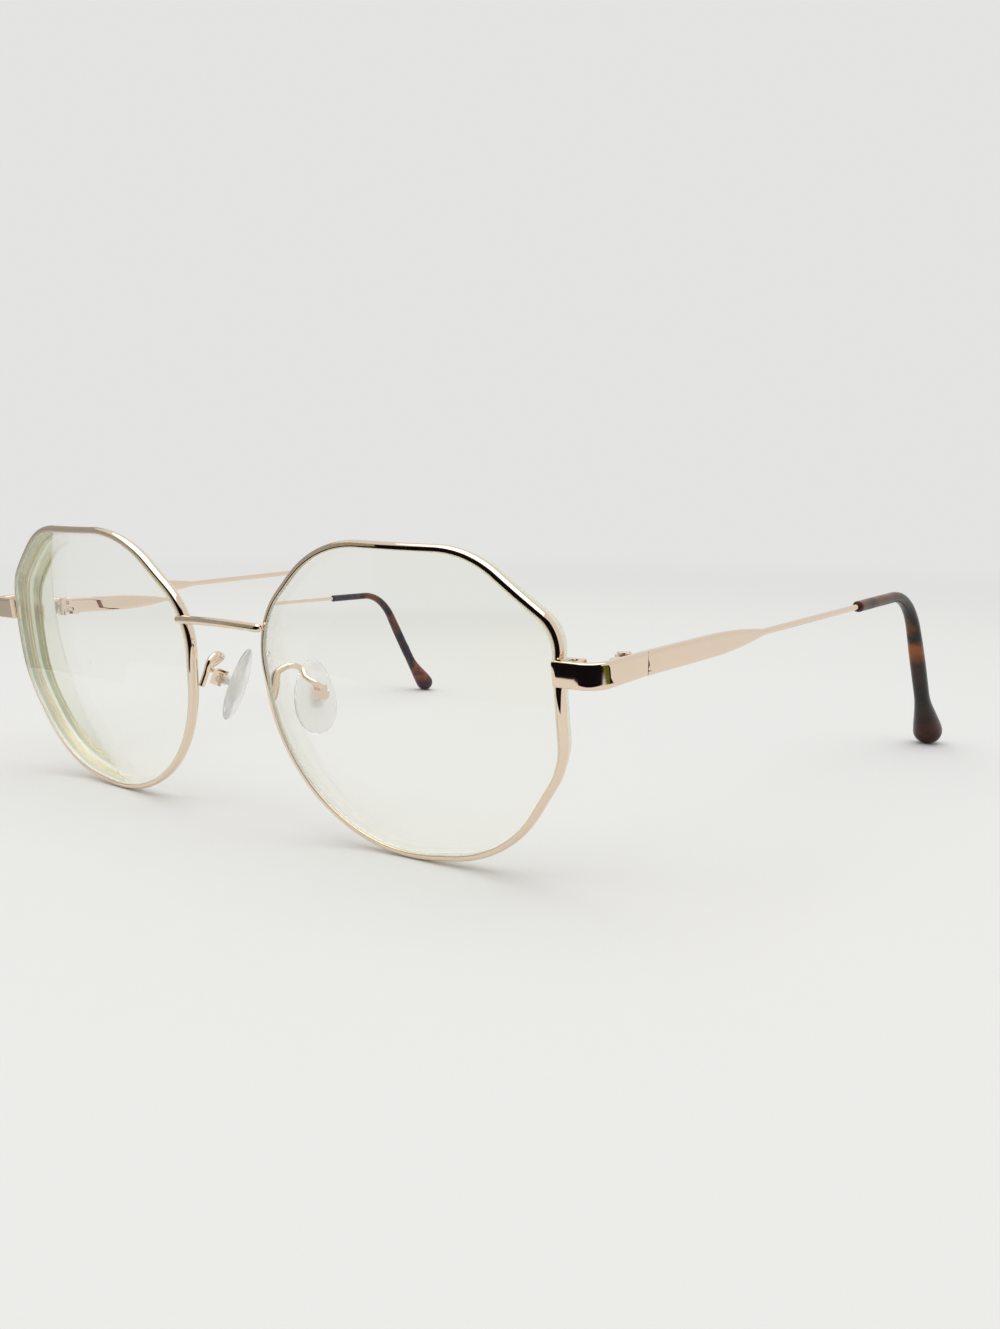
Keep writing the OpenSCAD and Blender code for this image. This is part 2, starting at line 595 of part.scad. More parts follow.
// Pad core: the plate moulded into the pad's back, with the drilled tab that the box holds
core_h = 4.4;
core_w = 2.4;
core_plate_t = 0.6;
core_back = pad_t * 0.5;
module pad_core() {
    in_pad() difference() {
        union() {
            translate([core_back - core_plate_t, -core_w / 2, -core_h / 2]) cube([core_plate_t, core_w, core_h]);
            translate([core_back - core_plate_t, -tab_w / 2, -tab_r])
                cube([pad_pivot - core_back + core_plate_t, tab_w, 2 * tab_r]);
            across_pad(tab_r, tab_w);
        }
        across_pad(pad_screw_d / 2 + bore_fit, box_w + 2);
    }
}

// Nose pad: a cushion thinning to its edge, with the recess that holds the core's plate
pad_shell = [[0.35, -0.42], [0.72, -0.34], [0.95, -0.12], [1, 0.1], [0.9, 0.32], [0.6, 0.47], [0.4, 0.5]];
pad_points = 20;
pad_drop_shape = 0.14;
function pad_ring(share, level) = [for (k = [0:pad_points - 1]) let (a = 360 * k / pad_points)
    in_pad([level * pad_t, pad_w / 2 * (1 - pad_drop_shape * sin(a)) * cos(a) * share,
        pad_h / 2 * sin(a) * share])];
module nose_pad() {
    difference() {
        loft([for (s = pad_shell) pad_ring(s[0], s[1])]);
        in_pad() translate([core_back - core_plate_t - seat, -core_w / 2 - seat, -core_h / 2 - seat])
            cube([core_plate_t + 1, core_w + 2 * seat, core_h + 2 * seat]);
    }
}

color(gold) side(1) rim();  // left_rim
color(gold) side(-1) rim();  // right_rim
color(gold) standing() loft(bridge_rings);  // bridge
color(gold) side(1) loft(strap_rings);  // left_end_piece
color(gold) side(-1) loft(strap_rings);  // right_end_piece
color(gold) side(1) block_half(true);  // left_upper_closing_block
color(gold) side(-1) block_half(true);  // right_upper_closing_block
color(gold) side(1) block_half(false);  // left_lower_closing_block
color(gold) side(-1) block_half(false);  // right_lower_closing_block
color(steel) side(1) closing_screw();  // left_closing_screw
color(steel) side(-1) closing_screw();  // right_closing_screw
color(clear) side(1) lens();  // left_lens
color(clear) side(-1) lens();  // right_lens
color(gold) side(1) front_leaf();  // left_front_hinge_leaf
color(gold) side(-1) front_leaf();  // right_front_hinge_leaf
color(steel) side(1) hinge_screw();  // left_hinge_screw
color(steel) side(-1) hinge_screw();  // right_hinge_screw
color(gold) side(1) temple_leaf();  // left_temple_hinge_leaf
color(gold) side(-1) temple_leaf();  // right_temple_hinge_leaf
color(gold) side(1) loft(temple_rings);  // left_temple
color(gold) side(-1) loft(temple_rings);  // right_temple
color(tortoise) side(1) loft(tip_rings);  // left_temple_tip
color(tortoise) side(-1) loft(tip_rings);  // right_temple_tip
color(gold) side(1) loft(pad_arm_rings);  // left_pad_arm
color(gold) side(-1) loft(pad_arm_rings);  // right_pad_arm
color(gold) side(1) pad_box();  // left_pad_box
color(gold) side(-1) pad_box();  // right_pad_box
color(steel) side(1) pad_screw();  // left_pad_screw
color(steel) side(-1) pad_screw();  // right_pad_screw
color(milky) side(1) pad_core();  // left_pad_core
color(milky) side(-1) pad_core();  // right_pad_core
color(milky) side(1) nose_pad();  // left_nose_pad
color(milky) side(-1) nose_pad();  // right_nose_pad
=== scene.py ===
# %% [markdown]
# # Octagonal eyeglasses
# A pair of metal eyeglasses is mostly wire: two grooved rims, a bridge, two arms that hold the
# nose pads and two temples that end in plastic tips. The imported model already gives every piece
# its real size and place. Here each piece gets a smooth skin and a finish, in the same frame, so
# that nothing is fitted by eye. Left is the wearer's left, at +X. The front faces -Y and Z is up.
# Shapes are worked out in millimetres and degrees, and become metres when their mesh is filled.

# %% Load the fixed frame
import math

import bmesh
import bpy
import numpy as np
from mathutils import Matrix, Vector


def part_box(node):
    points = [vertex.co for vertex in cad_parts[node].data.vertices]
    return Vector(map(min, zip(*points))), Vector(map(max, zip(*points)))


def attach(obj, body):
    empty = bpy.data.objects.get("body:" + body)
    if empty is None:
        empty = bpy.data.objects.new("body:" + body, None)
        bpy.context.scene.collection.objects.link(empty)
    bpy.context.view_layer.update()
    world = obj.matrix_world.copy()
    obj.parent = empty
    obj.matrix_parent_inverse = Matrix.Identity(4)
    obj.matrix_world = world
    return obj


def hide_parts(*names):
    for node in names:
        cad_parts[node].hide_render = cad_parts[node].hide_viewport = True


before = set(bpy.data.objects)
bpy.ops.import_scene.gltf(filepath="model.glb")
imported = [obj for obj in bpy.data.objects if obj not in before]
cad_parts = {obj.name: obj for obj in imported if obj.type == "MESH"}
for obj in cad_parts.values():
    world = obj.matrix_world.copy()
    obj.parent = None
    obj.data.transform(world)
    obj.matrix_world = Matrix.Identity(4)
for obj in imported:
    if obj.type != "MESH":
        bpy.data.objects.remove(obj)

MM = 0.001
SIDES = ("left", "right")
bpy.context.scene.view_settings.view_transform = "Standard"
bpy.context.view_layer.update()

# %% [markdown]
# ## Camera
# The camera was solved from the photograph by laying the frame's own points over it. Its depth and
# height are kept relative to the left rim, because that is the piece that the photograph shows
# best.

# %% Camera at the photograph's viewing angle
PHOTO_LONG_SIDE = 1329
FOCAL_PX = 1249.87
SENSOR_MM = 36.0
camera_from_rim = np.array([152.546, -128.966, 55.279])
camera_right = (0.8009183, 0.59867925, 0.01063145)
camera_up = (-0.09415824, 0.10839153, 0.98963908)
camera_back = (0.59132402, -0.79362109, 0.14318335)

rim_low = np.array(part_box("left_rim")[0]) / MM
camera_data = bpy.data.cameras.new("photo_camera")
camera_data.sensor_width = SENSOR_MM
camera_data.lens = SENSOR_MM * FOCAL_PX / PHOTO_LONG_SIDE
camera_data.clip_start = 0.01
camera = bpy.data.objects.new("photo_camera", camera_data)
turn = Matrix((camera_right, camera_up, camera_back)).transposed().to_4x4()
camera_place = camera_from_rim + [0, *rim_low[1:]]
camera.matrix_world = Matrix.Translation(camera_place * MM) @ turn
bpy.context.scene.collection.objects.link(camera)
bpy.context.scene.camera = camera
print("lens, mm:", round(camera_data.lens, 2))

# %% [markdown]
# ## From a grid of points to a mesh
# Every new piece is a surface with two parameters: rows run along the piece and columns run round
# it. The whole grid is worked out at once as an array, and the faces are worked out from its
# shape. A closed surface has a signed volume, so its sign says whether the faces point outwards.


# %% Faces from the shape of a grid
def signed_volume(points, faces):
    """Sum over the faces of the corner products a . (b x c) / 6, with each square cut in two."""
    a, b, c, d = (points[faces[:, k]] for k in range(4))
    first = np.einsum("ij,ij->i", a, np.cross(b, c))
    second = np.einsum("ij,ij->i", a, np.cross(c, d))
    return (first.sum() + second.sum()) / 6


def grid_faces(rows, columns, closed=True):
    """Squares between neighbours in a grid, whose columns close on themselves or stay open."""
    row = np.arange(rows - 1)[:, None]
    column = np.arange(columns if closed else columns - 1)[None, :]
    after, beside = row + 1, (column + 1) % columns
    corners = [row * columns + column, after * columns + column,
               after * columns + beside, row * columns + beside]
    return np.stack(corners, -1).reshape(-1, 4)


def cap_faces(first, columns, hub):
    """Triangles from one ring to a middle point, written as squares with a doubled corner."""
    k = np.arange(columns)
    hubs = np.full(columns, hub)
    return np.stack([first + k, first + (k + 1) % columns, hubs, hubs], -1)


print("squares on a tube of 3 rings with 8 points:", len(grid_faces(3, 8)))

# %% From points and faces to a piece
CREASE = 40.0


def skin_object(name, mesh, crease):
    """The mesh as an object in the scene, smooth except at edges sharper than the crease angle."""
    mesh.polygons.foreach_set("use_smooth", np.ones(len(mesh.polygons), bool))
    mesh.set_sharp_from_angle(angle=math.radians(crease))
    mesh.update()
    piece = bpy.data.objects.new(name, mesh)
    bpy.context.scene.collection.objects.link(piece)
    return piece


def fill_mesh(name, points, faces, crease=CREASE):
    """An object from points in millimetres. A square with a doubled corner becomes a triangle."""
    mesh = bpy.data.meshes.new(name)
    corners = [list(dict.fromkeys(face)) for face in faces.tolist()]
    mesh.from_pydata((points * MM).tolist(), [], corners)
    return skin_object(name, mesh, crease)


def make_piece(name, rings, crease=CREASE):
    """Closed skin over rings of equal count: squares between rings and a fan over each end."""
    rows, columns = rings.shape[:2]
    hubs = np.stack([rings[0].mean(0), rings[-1].mean(0)])
    points = np.concatenate([rings.reshape(-1, 3), hubs])
    faces = np.concatenate([
        grid_faces(rows, columns),
        cap_faces(0, columns, rows * columns)[:, [1, 0, 2, 3]],
        cap_faces((rows - 1) * columns, columns, rows * columns + 1),
    ])
    if signed_volume(points, faces) < 0:
        faces = faces[:, [1, 0, 3, 2]]
    return fill_mesh(name, points, faces, crease)


print("edges stay sharp from, degrees:", CREASE)


# %% Placing a piece
def place_piece(piece, body, slot, material, *nodes):
    """Rides the piece on its body with its finish, and hides what it stands for. The slot is not
    used.
    """
    piece.data.materials.append(material)
    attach(piece, body)
    if nodes:
        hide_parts(*nodes)
    print(piece.name, len(piece.data.polygons), "faces on", body)
    return piece


def mirrored(points, side):
    """The same points for the left side, or with X reversed for the right side."""
    return points * [1 if side == "left" else -1, 1, 1]


# %% [markdown]
# ## Sections and paths
# Wire is a flat section carried along a path. At each stop the section stands square to the path,
# with its first axis level, so a temple blade stays upright all the way. The ends are eased over a
# tiny radius, because a cut and polished wire has no knife edge.


# %% Sections
def mix(a, b, t):
    """The value a share t of the way from a to b."""
    return a + (b - a) * t


def smooth_step(t):
    """Rises from 0 to 1 with level ends: 3 t^2 - 2 t^3."""
    t = np.clip(t, 0, 1)
    return t * t * (3 - 2 * t)


def rounded_section(half_a, half_b, radius, arc=5, flat=4):
    """Rounded rectangles, one for each size: quarter circles at the corners, joined by lines."""
    sizes = np.broadcast_arrays(half_a, half_b, radius)
    a, b, r = (np.reshape(np.asarray(size, float), (-1, 1)) for size in sizes)
    corners = []
    for quarter, (side_a, side_b) in enumerate(((1, 1), (-1, 1), (-1, -1), (1, -1))):
        angle = np.radians(90 * quarter + np.linspace(0, 90, arc + 1))
        corners.append(np.stack([side_a * (a - r) + r * np.cos(angle),
                                 side_b * (b - r) + r * np.sin(angle)], -1))
    share = np.linspace(0, 1, flat + 2)[1:-1, None]
    parts = []
    for quarter in range(4):
        start, end = corners[quarter][:, -1:], corners[(quarter + 1) % 4][:, :1]
        parts += [corners[quarter], start + (end - start) * share]
    return np.concatenate(parts, 1)


print("points in a section:", rounded_section(1, 1, 0.5).shape[1])


# %% Sections along a path
def unit(v):
    """Each vector divided by its own length."""
    return v / np.linalg.norm(v, axis=-1, keepdims=True)


def rings_along(path, heading, section, up=(0, 0, 1), roll=0.0):
    """Places a section at each point of the path, across its heading, turned by roll about it."""
    heading = unit(heading)
    e1 = unit(np.cross(up, heading))
    e2 = np.cross(heading, e1)
    roll = np.radians(np.broadcast_to(roll, len(path)))[:, None]
    f1 = e1 * np.cos(roll) + e2 * np.sin(roll)
    f2 = e2 * np.cos(roll) - e1 * np.sin(roll)
    return path[:, None] + section[..., :1] * f1[:, None] + section[..., 1:] * f2[:, None]


def eased_ends(rings, radius):
    """Replaces the first and last ring by four that turn inwards along a quarter circle."""
    def eased(end, inner):
        middle = end.mean(0)
        inwards = unit(inner.mean(0) - middle)
        to_middle = unit(middle - end)
        angles = np.radians([90, 60, 30, 0])[:, None, None]
        return (end + inwards * radius * (1 - np.sin(angles))
                + to_middle * radius * (1 - np.cos(angles)))
    first, last = eased(rings[0], rings[1]), eased(rings[-1], rings[-2])[::-1]
    return np.concatenate([first, rings[1:-1], last])


print("(3, 4) at unit length:", unit(np.array([3.0, 4.0])))

# %% [markdown]
# ## Finishes
# Polished metal shows its surroundings, so its own colour is only a tint. What makes it look real
# is that the polish is never quite even. One shared group, fine_marks, gives that unevenness: a
# cloudy mask from large noise and a fine scratch height from stretched noise. Each finish uses it
# with its own scale and strength.


# %% Node helpers and the shared marks group
def add_node(tree, kind, **settings):
    """A node with its settings, where a name that the node lacks is a socket's, _ for a space."""
    node = tree.nodes.new(kind)
    for key, value in settings.items():
        if hasattr(node, key):
            setattr(node, key, value)
        else:
            node.inputs[key.replace("_", " ")].default_value = value
    return node


def fine_marks_group():
    """Cloudy roughness between Low and High, and a scratch height, both at the given Scale."""
    group = bpy.data.node_groups.new("fine_marks", "ShaderNodeTree")
    for name, way, kind in (("Vector", "INPUT", "Vector"), ("Scale", "INPUT", "Float"),
                            ("Low", "INPUT", "Float"), ("High", "INPUT", "Float"),
                            ("Roughness", "OUTPUT", "Float"), ("Height", "OUTPUT", "Float")):
        group.interface.new_socket(name, in_out=way, socket_type="NodeSocket" + kind)
    enter, leave = add_node(group, "NodeGroupInput"), add_node(group, "NodeGroupOutput")
    cloud = add_node(group, "ShaderNodeTexNoise", Detail=5.0, Roughness=0.6)
    spread = add_node(group, "ShaderNodeMapRange", From_Min=0.35, From_Max=0.7)
    stretch = add_node(group, "ShaderNodeMapping", Scale=(14.0, 3.0, 14.0))
    scratch = add_node(group, "ShaderNodeTexNoise", Detail=2.0)
    link = group.links.new
    link(enter.outputs["Vector"], cloud.inputs["Vector"])
    link(enter.outputs["Scale"], cloud.inputs["Scale"])
    link(cloud.outputs["Fac"], spread.inputs["Value"])
    link(enter.outputs["Low"], spread.inputs["To Min"])
    link(enter.outputs["High"], spread.inputs["To Max"])
    link(spread.outputs["Result"], leave.inputs["Roughness"])
    link(enter.outputs["Vector"], stretch.inputs["Vector"])
    link(stretch.outputs["Vector"], scratch.inputs["Vector"])
    link(enter.outputs["Scale"], scratch.inputs["Scale"])
    link(scratch.outputs["Fac"], leave.inputs["Height"])
    return group


fine_marks = fine_marks_group()
print("nodes in the marks group:", len(fine_marks.nodes))

# %% Materials and their marks
MARK_DEPTH = 0.02 * MM


def start_material(name, **sockets):
    """An empty material whose Principled shader has these socket values and feeds its output."""
    material = bpy.data.materials.new(name)
    material.use_nodes = True
    tree = material.node_tree
    tree.nodes.clear()
    shader = add_node(tree, "ShaderNodeBsdfPrincipled", **sockets)
    output = add_node(tree, "ShaderNodeOutputMaterial")
    tree.links.new(shader.outputs["BSDF"], output.inputs["Surface"])
    return material, tree, shader, output


def add_marks(tree, shader, scale, low, high, relief):
    """Joins the marks group to the roughness and, through a bump, to the normal."""
    place = add_node(tree, "ShaderNodeTexCoord")
    marks = add_node(tree, "ShaderNodeGroup", node_tree=fine_marks, Scale=scale, Low=low, High=high)
    bump = add_node(tree, "ShaderNodeBump", Strength=relief, Distance=MARK_DEPTH)
    tree.links.new(place.outputs["Object"], marks.inputs["Vector"])
    tree.links.new(marks.outputs["Roughness"], shader.inputs["Roughness"])
    tree.links.new(marks.outputs["Height"], bump.inputs["Height"])
    tree.links.new(bump.outputs["Normal"], shader.inputs["Normal"])
    return place


print("depth of the marks, mm:", MARK_DEPTH / MM)

# %% Metal finishes
TONE_SCALE, TONE_SHADE = 180.0, 0.93


def metal_finish(name, tint, scale, low, high, relief):
    """Bare metal: the tint colours every reflection, and the marks vary its polish."""
    material, tree, shader, _ = start_material(name, Metallic=1.0)
    place = add_marks(tree, shader, scale, low, high, relief)
    shade = [c * TONE_SHADE for c in tint]
    tone = add_node(tree, "ShaderNodeTexNoise", Scale=TONE_SCALE, Detail=3.0)
    blend = add_node(tree, "ShaderNodeMix", data_type="RGBA", A=(*tint, 1), B=(*shade, 1))
    tree.links.new(place.outputs["Object"], tone.inputs["Vector"])
    tree.links.new(tone.outputs["Fac"], blend.inputs["Factor"])
    tree.links.new(blend.outputs["Result"], shader.inputs["Base Color"])
    return material


rose_gold = metal_finish("rose_gold_plating", (0.90, 0.735, 0.585),
                         scale=260.0, low=0.012, high=0.05, relief=0.012)
screw_steel = metal_finish("plated_screw_steel", (0.84, 0.70, 0.60),
                           scale=900.0, low=0.10, high=0.22, relief=0.2)
print("metals:", rose_gold.name, screw_steel.name)

# %% [markdown]
# ## Lens finish
# The lens is clear with a trace of green that only shows where light runs a long way inside it,
# near the thick edge. That is absorption in the volume, not a coloured surface. The edge is ground
# and not polished, so it is frosted. Shadow rays pass straight through, because a thin clear lens
# hardly darkens the table.

# %% Choosing a shader by the kind of ray
DEEPEST_MIRRORING = 3.5


def deep_rays(tree, light):
    """One for a ray that has been mirrored or bent four times or more, otherwise zero."""
    deep = add_node(tree, "ShaderNodeMath", operation="GREATER_THAN")
    deep.inputs[1].default_value = DEEPEST_MIRRORING
    tree.links.new(light.outputs["Ray Depth"], deep.inputs[0])
    return deep.outputs[0]


def either_mask(tree, first, second):
    """One where at least one of the two masks is one."""
    either = add_node(tree, "ShaderNodeMath", operation="MAXIMUM")
    tree.links.new(first, either.inputs[0])
    tree.links.new(second, either.inputs[1])
    return either.outputs[0]


def choose_shader(tree, mask, shader, other, output):
    """Shows the shader where the mask is zero and the other one where it is one."""
    choose = add_node(tree, "ShaderNodeMixShader")
    tree.links.new(mask, choose.inputs["Fac"])
    tree.links.new(shader.outputs[0], choose.inputs[1])
    tree.links.new(other.outputs[0], choose.inputs[2])
    tree.links.new(choose.outputs["Shader"], output.inputs["Surface"])


print("mirrorings before light simply leaves:", math.ceil(DEEPEST_MIRRORING))

# %% Lens materials
LENS_INDEX, BLUE_PASSED = 1.6, 0.98


def clear_finish(name, passed, **sockets):
    """Clear stuff that passes its share of shadow rays and of much-mirrored rays straight on.

    Near a thick edge light is mirrored to and fro. After the fourth time it simply leaves."""
    material, tree, shader, output = start_material(name, **sockets)
    light = add_node(tree, "ShaderNodeLightPath")
    passed_colour = (passed, passed, passed * BLUE_PASSED, 1)
    through = add_node(tree, "ShaderNodeBsdfTransparent", Color=passed_colour)
    mask = either_mask(tree, light.outputs["Is Shadow Ray"], deep_rays(tree, light))
    choose_shader(tree, mask, shader, through, output)
    return material, tree, shader, output


lens_clear, lens_tree, _, lens_output = clear_finish(
    "coated_lens", 0.93, Base_Color=(1.0, 1.0, 0.992, 1), Transmission_Weight=1.0, Roughness=0.0,
    IOR=LENS_INDEX, Specular_Tint=(0.16, 0.18, 0.42, 1))
absorb = add_node(lens_tree, "ShaderNodeVolumeAbsorption",
                  Color=(0.86, 0.90, 0.62, 1), Density=22.0)
lens_tree.links.new(absorb.outputs["Volume"], lens_output.inputs["Volume"])
lens_edge, edge_tree, edge_shader, _ = start_material(
    "ground_lens_edge", Base_Color=(0.84, 0.84, 0.62, 1), Transmission_Weight=0.9, IOR=LENS_INDEX)
add_marks(edge_tree, edge_shader, scale=1200.0, low=0.6, high=0.7, relief=0.02)
print("lens:", lens_clear.name, lens_edge.name)

# %% [markdown]
# ## Plastic finishes
# The tips are tortoise acetate: nearly black, with amber where two batches of plastic met, and a
# red brown end. Sheets are cut from blocks, so the pattern runs through the solid. Noise on Object
# coordinates does the same. The nose pads are silicone, clear but milky.

# %% Tortoise acetate
TIP_HEIGHT, BATCH_SLANT = 36 * MM, (-0.12, 0, 1)
AMBER = (0.27, 0.075, 0.014, 1)
TIP_COLOURS = ((0.0, (0.026, 0.004, 0.004)), (0.15, (0.022, 0.004, 0.004)),
               (0.24, (0.009, 0.009, 0.007)), (0.82, (0.010, 0.009, 0.007)),
               (0.92, (0.018, 0.010, 0.006)), (1.0, (0.012, 0.009, 0.006)))
AMBER_SHARES = ((0.0, 0.1), (0.30, 0.1), (0.37, 0.9), (0.46, 1.0),
                (0.58, 0.5), (0.65, 0.08), (0.69, 0.1), (0.74, 0.5))


def by_height(tree, height, stops):
    """A colour ramp from the table up to the tip's height. A stop's single number is a grey."""
    share = add_node(tree, "ShaderNodeMapRange", From_Max=TIP_HEIGHT)
    ramp = add_node(tree, "ShaderNodeValToRGB")
    elements = ramp.color_ramp.elements
    for position, _ in stops[1:-1]:
        elements.new(position)
    for element, (position, colour) in zip(elements, stops):
        element.position = position
        element.color = (*np.broadcast_to(colour, 3).tolist(), 1)
    tree.links.new(height, share.inputs["Value"])
    tree.links.new(share.outputs["Result"], ramp.inputs["Fac"])
    return ramp.outputs["Color"]


def tortoise_finish():
    """Nearly black, maroon at the low end, amber where warped noise and a slanted band agree."""
    material, tree, shader, _ = start_material(
        "tortoise_acetate", Specular_IOR_Level=0.3, Coat_Weight=0.08, Coat_Roughness=0.12, IOR=1.47)
    place = add_marks(tree, shader, scale=300.0, low=0.22, high=0.38, relief=0.1)
    level = add_node(tree, "ShaderNodeSeparateXYZ")
    slant = add_node(tree, "ShaderNodeVectorMath", operation="DOT_PRODUCT")
    slant.inputs[1].default_value = BATCH_SLANT
    swirl = add_node(tree, "ShaderNodeTexNoise", Scale=130.0, Detail=3.0, Distortion=1.0)
    streak = add_node(tree, "ShaderNodeMapRange", interpolation_type="SMOOTHSTEP",
                      From_Min=0.38, From_Max=0.66)
    share = add_node(tree, "ShaderNodeMath", operation="MULTIPLY")
    amber = add_node(tree, "ShaderNodeMix", data_type="RGBA", B=AMBER)
    link = tree.links.new
    for taker in (level.inputs["Vector"], slant.inputs[0], swirl.inputs["Vector"]):
        link(place.outputs["Object"], taker)
    link(swirl.outputs["Fac"], streak.inputs["Value"])
    link(streak.outputs["Result"], share.inputs[0])
    link(by_height(tree, slant.outputs["Value"], AMBER_SHARES), share.inputs[1])
    link(share.outputs[0], amber.inputs["Factor"])
    link(by_height(tree, level.outputs["Z"], TIP_COLOURS), amber.inputs["A"])
    link(amber.outputs["Result"], shader.inputs["Base Color"])
    return material


tortoise = tortoise_finish()
print("tip plastic:", tortoise.name)

# %% Pad silicone and insert
silicone, silicone_tree, silicone_shader, _ = clear_finish(
    "milky_silicone", 0.98, Base_Color=(0.99, 0.99, 0.97, 1), Transmission_Weight=0.62, IOR=1.33,
    Subsurface_Weight=1.0, Subsurface_Radius=(1.0, 1.0, 0.9), Subsurface_Scale=4 * MM)
add_marks(silicone_tree, silicone_shader, scale=700.0, low=0.13, high=0.15, relief=0.0005)
insert_plastic, insert_tree, insert_shader, _ = start_material(
    "pad_insert_plastic", Base_Color=(0.88, 0.88, 0.84, 1), Transmission_Weight=0.35)
add_marks(insert_tree, insert_shader, scale=800.0, low=0.2, high=0.4, relief=0.2)
print("pad plastics:", silicone.name, insert_plastic.name)

# %% [markdown]
# ## Rims
# A rim is a drawn wire with a V groove inside, bent into an octagon with soft corners and then
# pressed to the lens's sphere. The outline is eight straight lines with an arc at each corner.
# Each point is then moved back by the sphere's depth, and the whole rim is turned and leaned into
# place. It is cut at the temple side, where the closing block pulls it together.

# %% Outline of the octagon
LENS_W, LENS_H = 53.2, 46.8
LOCK_H, LOCK_GAP = 6.9, 0.3
CORNER_STEPS, SIDE_STEPS = 14, 10
# Each corner's place from the middle of the lens, and the radius of its arc.
OCTAGON = np.array([
    [26.6, -6.3, 12.4], [16.5, -21.4, 20.5], [-7.7, -24.7, 26.5], [-25.0, -11.5, 24.8],
    [-27.3, 10.3, 14.0], [-12.6, 23.6, 20.3], [13.9, 23.0, 15.0], [26.6, 12.6, 6.8],
])


def octagon_arcs():
    """Each corner as an arc between its two sides, worked out from the headings of both.

    The arc starts radius * tan(swing / 2) before the corner, and its hub lies a radius inwards."""
    place, radius = OCTAGON[:, :2], OCTAGON[:, 2]
    steps = np.roll(place, -1, 0) - place
    after = np.degrees(np.arctan2(steps[:, 1], steps[:, 0]))
    before = np.roll(after, 1)
    swing = (after - before + 540) % 360 - 180
    tangent = radius * np.tan(np.radians(-swing / 2))
    b = np.radians(before)
    start = place - tangent[:, None] * np.stack([np.cos(b), np.sin(b)], -1)
    hub = start + radius[:, None] * np.stack([np.sin(b), -np.cos(b)], -1)
    swung = swing[:, None] * np.linspace(0, 1, CORNER_STEPS + 1)
    angle = np.radians(before[:, None] + swung + 90)
    normal = np.stack([np.cos(angle), np.sin(angle)], -1)
    return hub[:, None] + radius[:, None, None] * normal, normal


def rim_outline():
    """The wire's path in the lens plane and its outward normals, scaled to the lens's size.

    It runs from one side of the cut through all corners to the other side of the cut."""
    points, normals = octagon_arcs()
    flat = points.reshape(-1, 2)
    low, high = flat.min(0), flat.max(0)
    scale = np.array([LENS_W, LENS_H]) / (high - low)
    points = (points - (low + high) / 2) * scale
    normals = unit(normals / scale)
    share = np.linspace(0, 1, SIDE_STEPS + 2)[1:-1, None]
    cut = np.array([[LENS_W / 2, LOCK_H - LOCK_GAP / 2], [LENS_W / 2, LOCK_H + LOCK_GAP / 2]])
    outward = np.array([[1.0, 0.0]])
    path = [cut[:1], mix(cut[0], points[0, 0], share)]
    sides = [outward, np.repeat(outward, SIDE_STEPS, 0)]
    for corner in range(len(OCTAGON)):
        if corner:
            path.append(mix(points[corner - 1, -1], points[corner, 0], share))
            sides.append(unit(mix(normals[corner - 1, -1], normals[corner, 0], share)))
        path.append(points[corner])
        sides.append(normals[corner])
    path += [mix(points[-1, -1], cut[1], share), cut[1:]]
    sides += [np.repeat(outward, SIDE_STEPS, 0), outward]
    return np.concatenate(path), np.concatenate(sides)


outline, outline_normal = rim_outline()
print("outline stops:", len(outline))

# %% From the lens plane to the frame
BASE_RADIUS, BRIDGE_GAP = 96.7, 17.8
TILT, WRAP = 8.8, 3.3
LENS_CX = (LENS_W + BRIDGE_GAP) / 2


def sphere_depth(u, v, radius=BASE_RADIUS):
    """How far a sphere through the lens's middle falls back: R - sqrt(R^2 - u^2 - v^2)."""
    return radius - np.sqrt(radius ** 2 - u ** 2 - v ** 2)


def turn_points(points, axis, degrees):
    """Points turned about X, Y or Z (axis 0, 1 or 2) by the right-hand rule."""
    return points @ np.array(Matrix.Rotation(math.radians(degrees), 3, "XYZ"[axis])).T


def in_front(points):
    """From the lens's place to the frame: wrapped about Z, leaned about X, set beside the nose."""
    return turn_points(turn_points(points, 2, WRAP), 0, TILT) + [LENS_CX, 0, 0]


outline_depth = sphere_depth(*outline.T)
print("deepest point of the outline, mm:", outline_depth.max().round(2))

# %% Rim wire
RIM_W, RIM_D, GROOVE_W, GROOVE_D = 0.95, 1.55, 1.04, 0.42
BARREL_END, BARREL_SHOULDER = 75, 22
RIM_EASE, RIM_CUT_EASE = 0.14, 0.06


def rim_section():
    """Across the wire, as (outward, forward): a barrel, eased corners and a V groove inside.

    The barrel is (cos a / cos shoulder, sin a / sin end) times half of the wire's two sizes."""
    barrel = np.radians(np.linspace(-BARREL_END, BARREL_END, 15))
    outer = np.stack([RIM_W / 2 * np.cos(barrel) / math.cos(math.radians(BARREL_SHOULDER)),
                      RIM_D / 2 * np.sin(barrel) / math.sin(math.radians(BARREL_END))], -1)
    quarter = np.radians(np.linspace(90, 180, 5))
    corner = np.stack([RIM_EASE - RIM_W / 2 + RIM_EASE * np.cos(quarter),
                       RIM_D / 2 - RIM_EASE + RIM_EASE * np.sin(quarter)], -1)
    groove = np.array([[-RIM_W / 2, GROOVE_W / 2], [GROOVE_D - RIM_W / 2, 0],
                       [-RIM_W / 2, -GROOVE_W / 2]])
    return np.concatenate([outer, corner, groove, corner[::-1] * [1, -1]])


def rim_rings(section):
    """The section at each stop: outward along the normal, and forward from the sphere's depth."""
    plane = outline[:, None] + section[None, :, :1] * outline_normal[:, None]
    y = outline_depth[:, None] - section[None, :, 1]
    return in_front(np.stack([plane[..., 0], y, plane[..., 1]], -1))


raw_rings = rim_rings(rim_section())
raw_low = raw_rings.min((0, 1))
to_frame = (rim_low - raw_low) * [0, 1, 1]
print("lens frame moved by, mm:", to_frame.round(3))

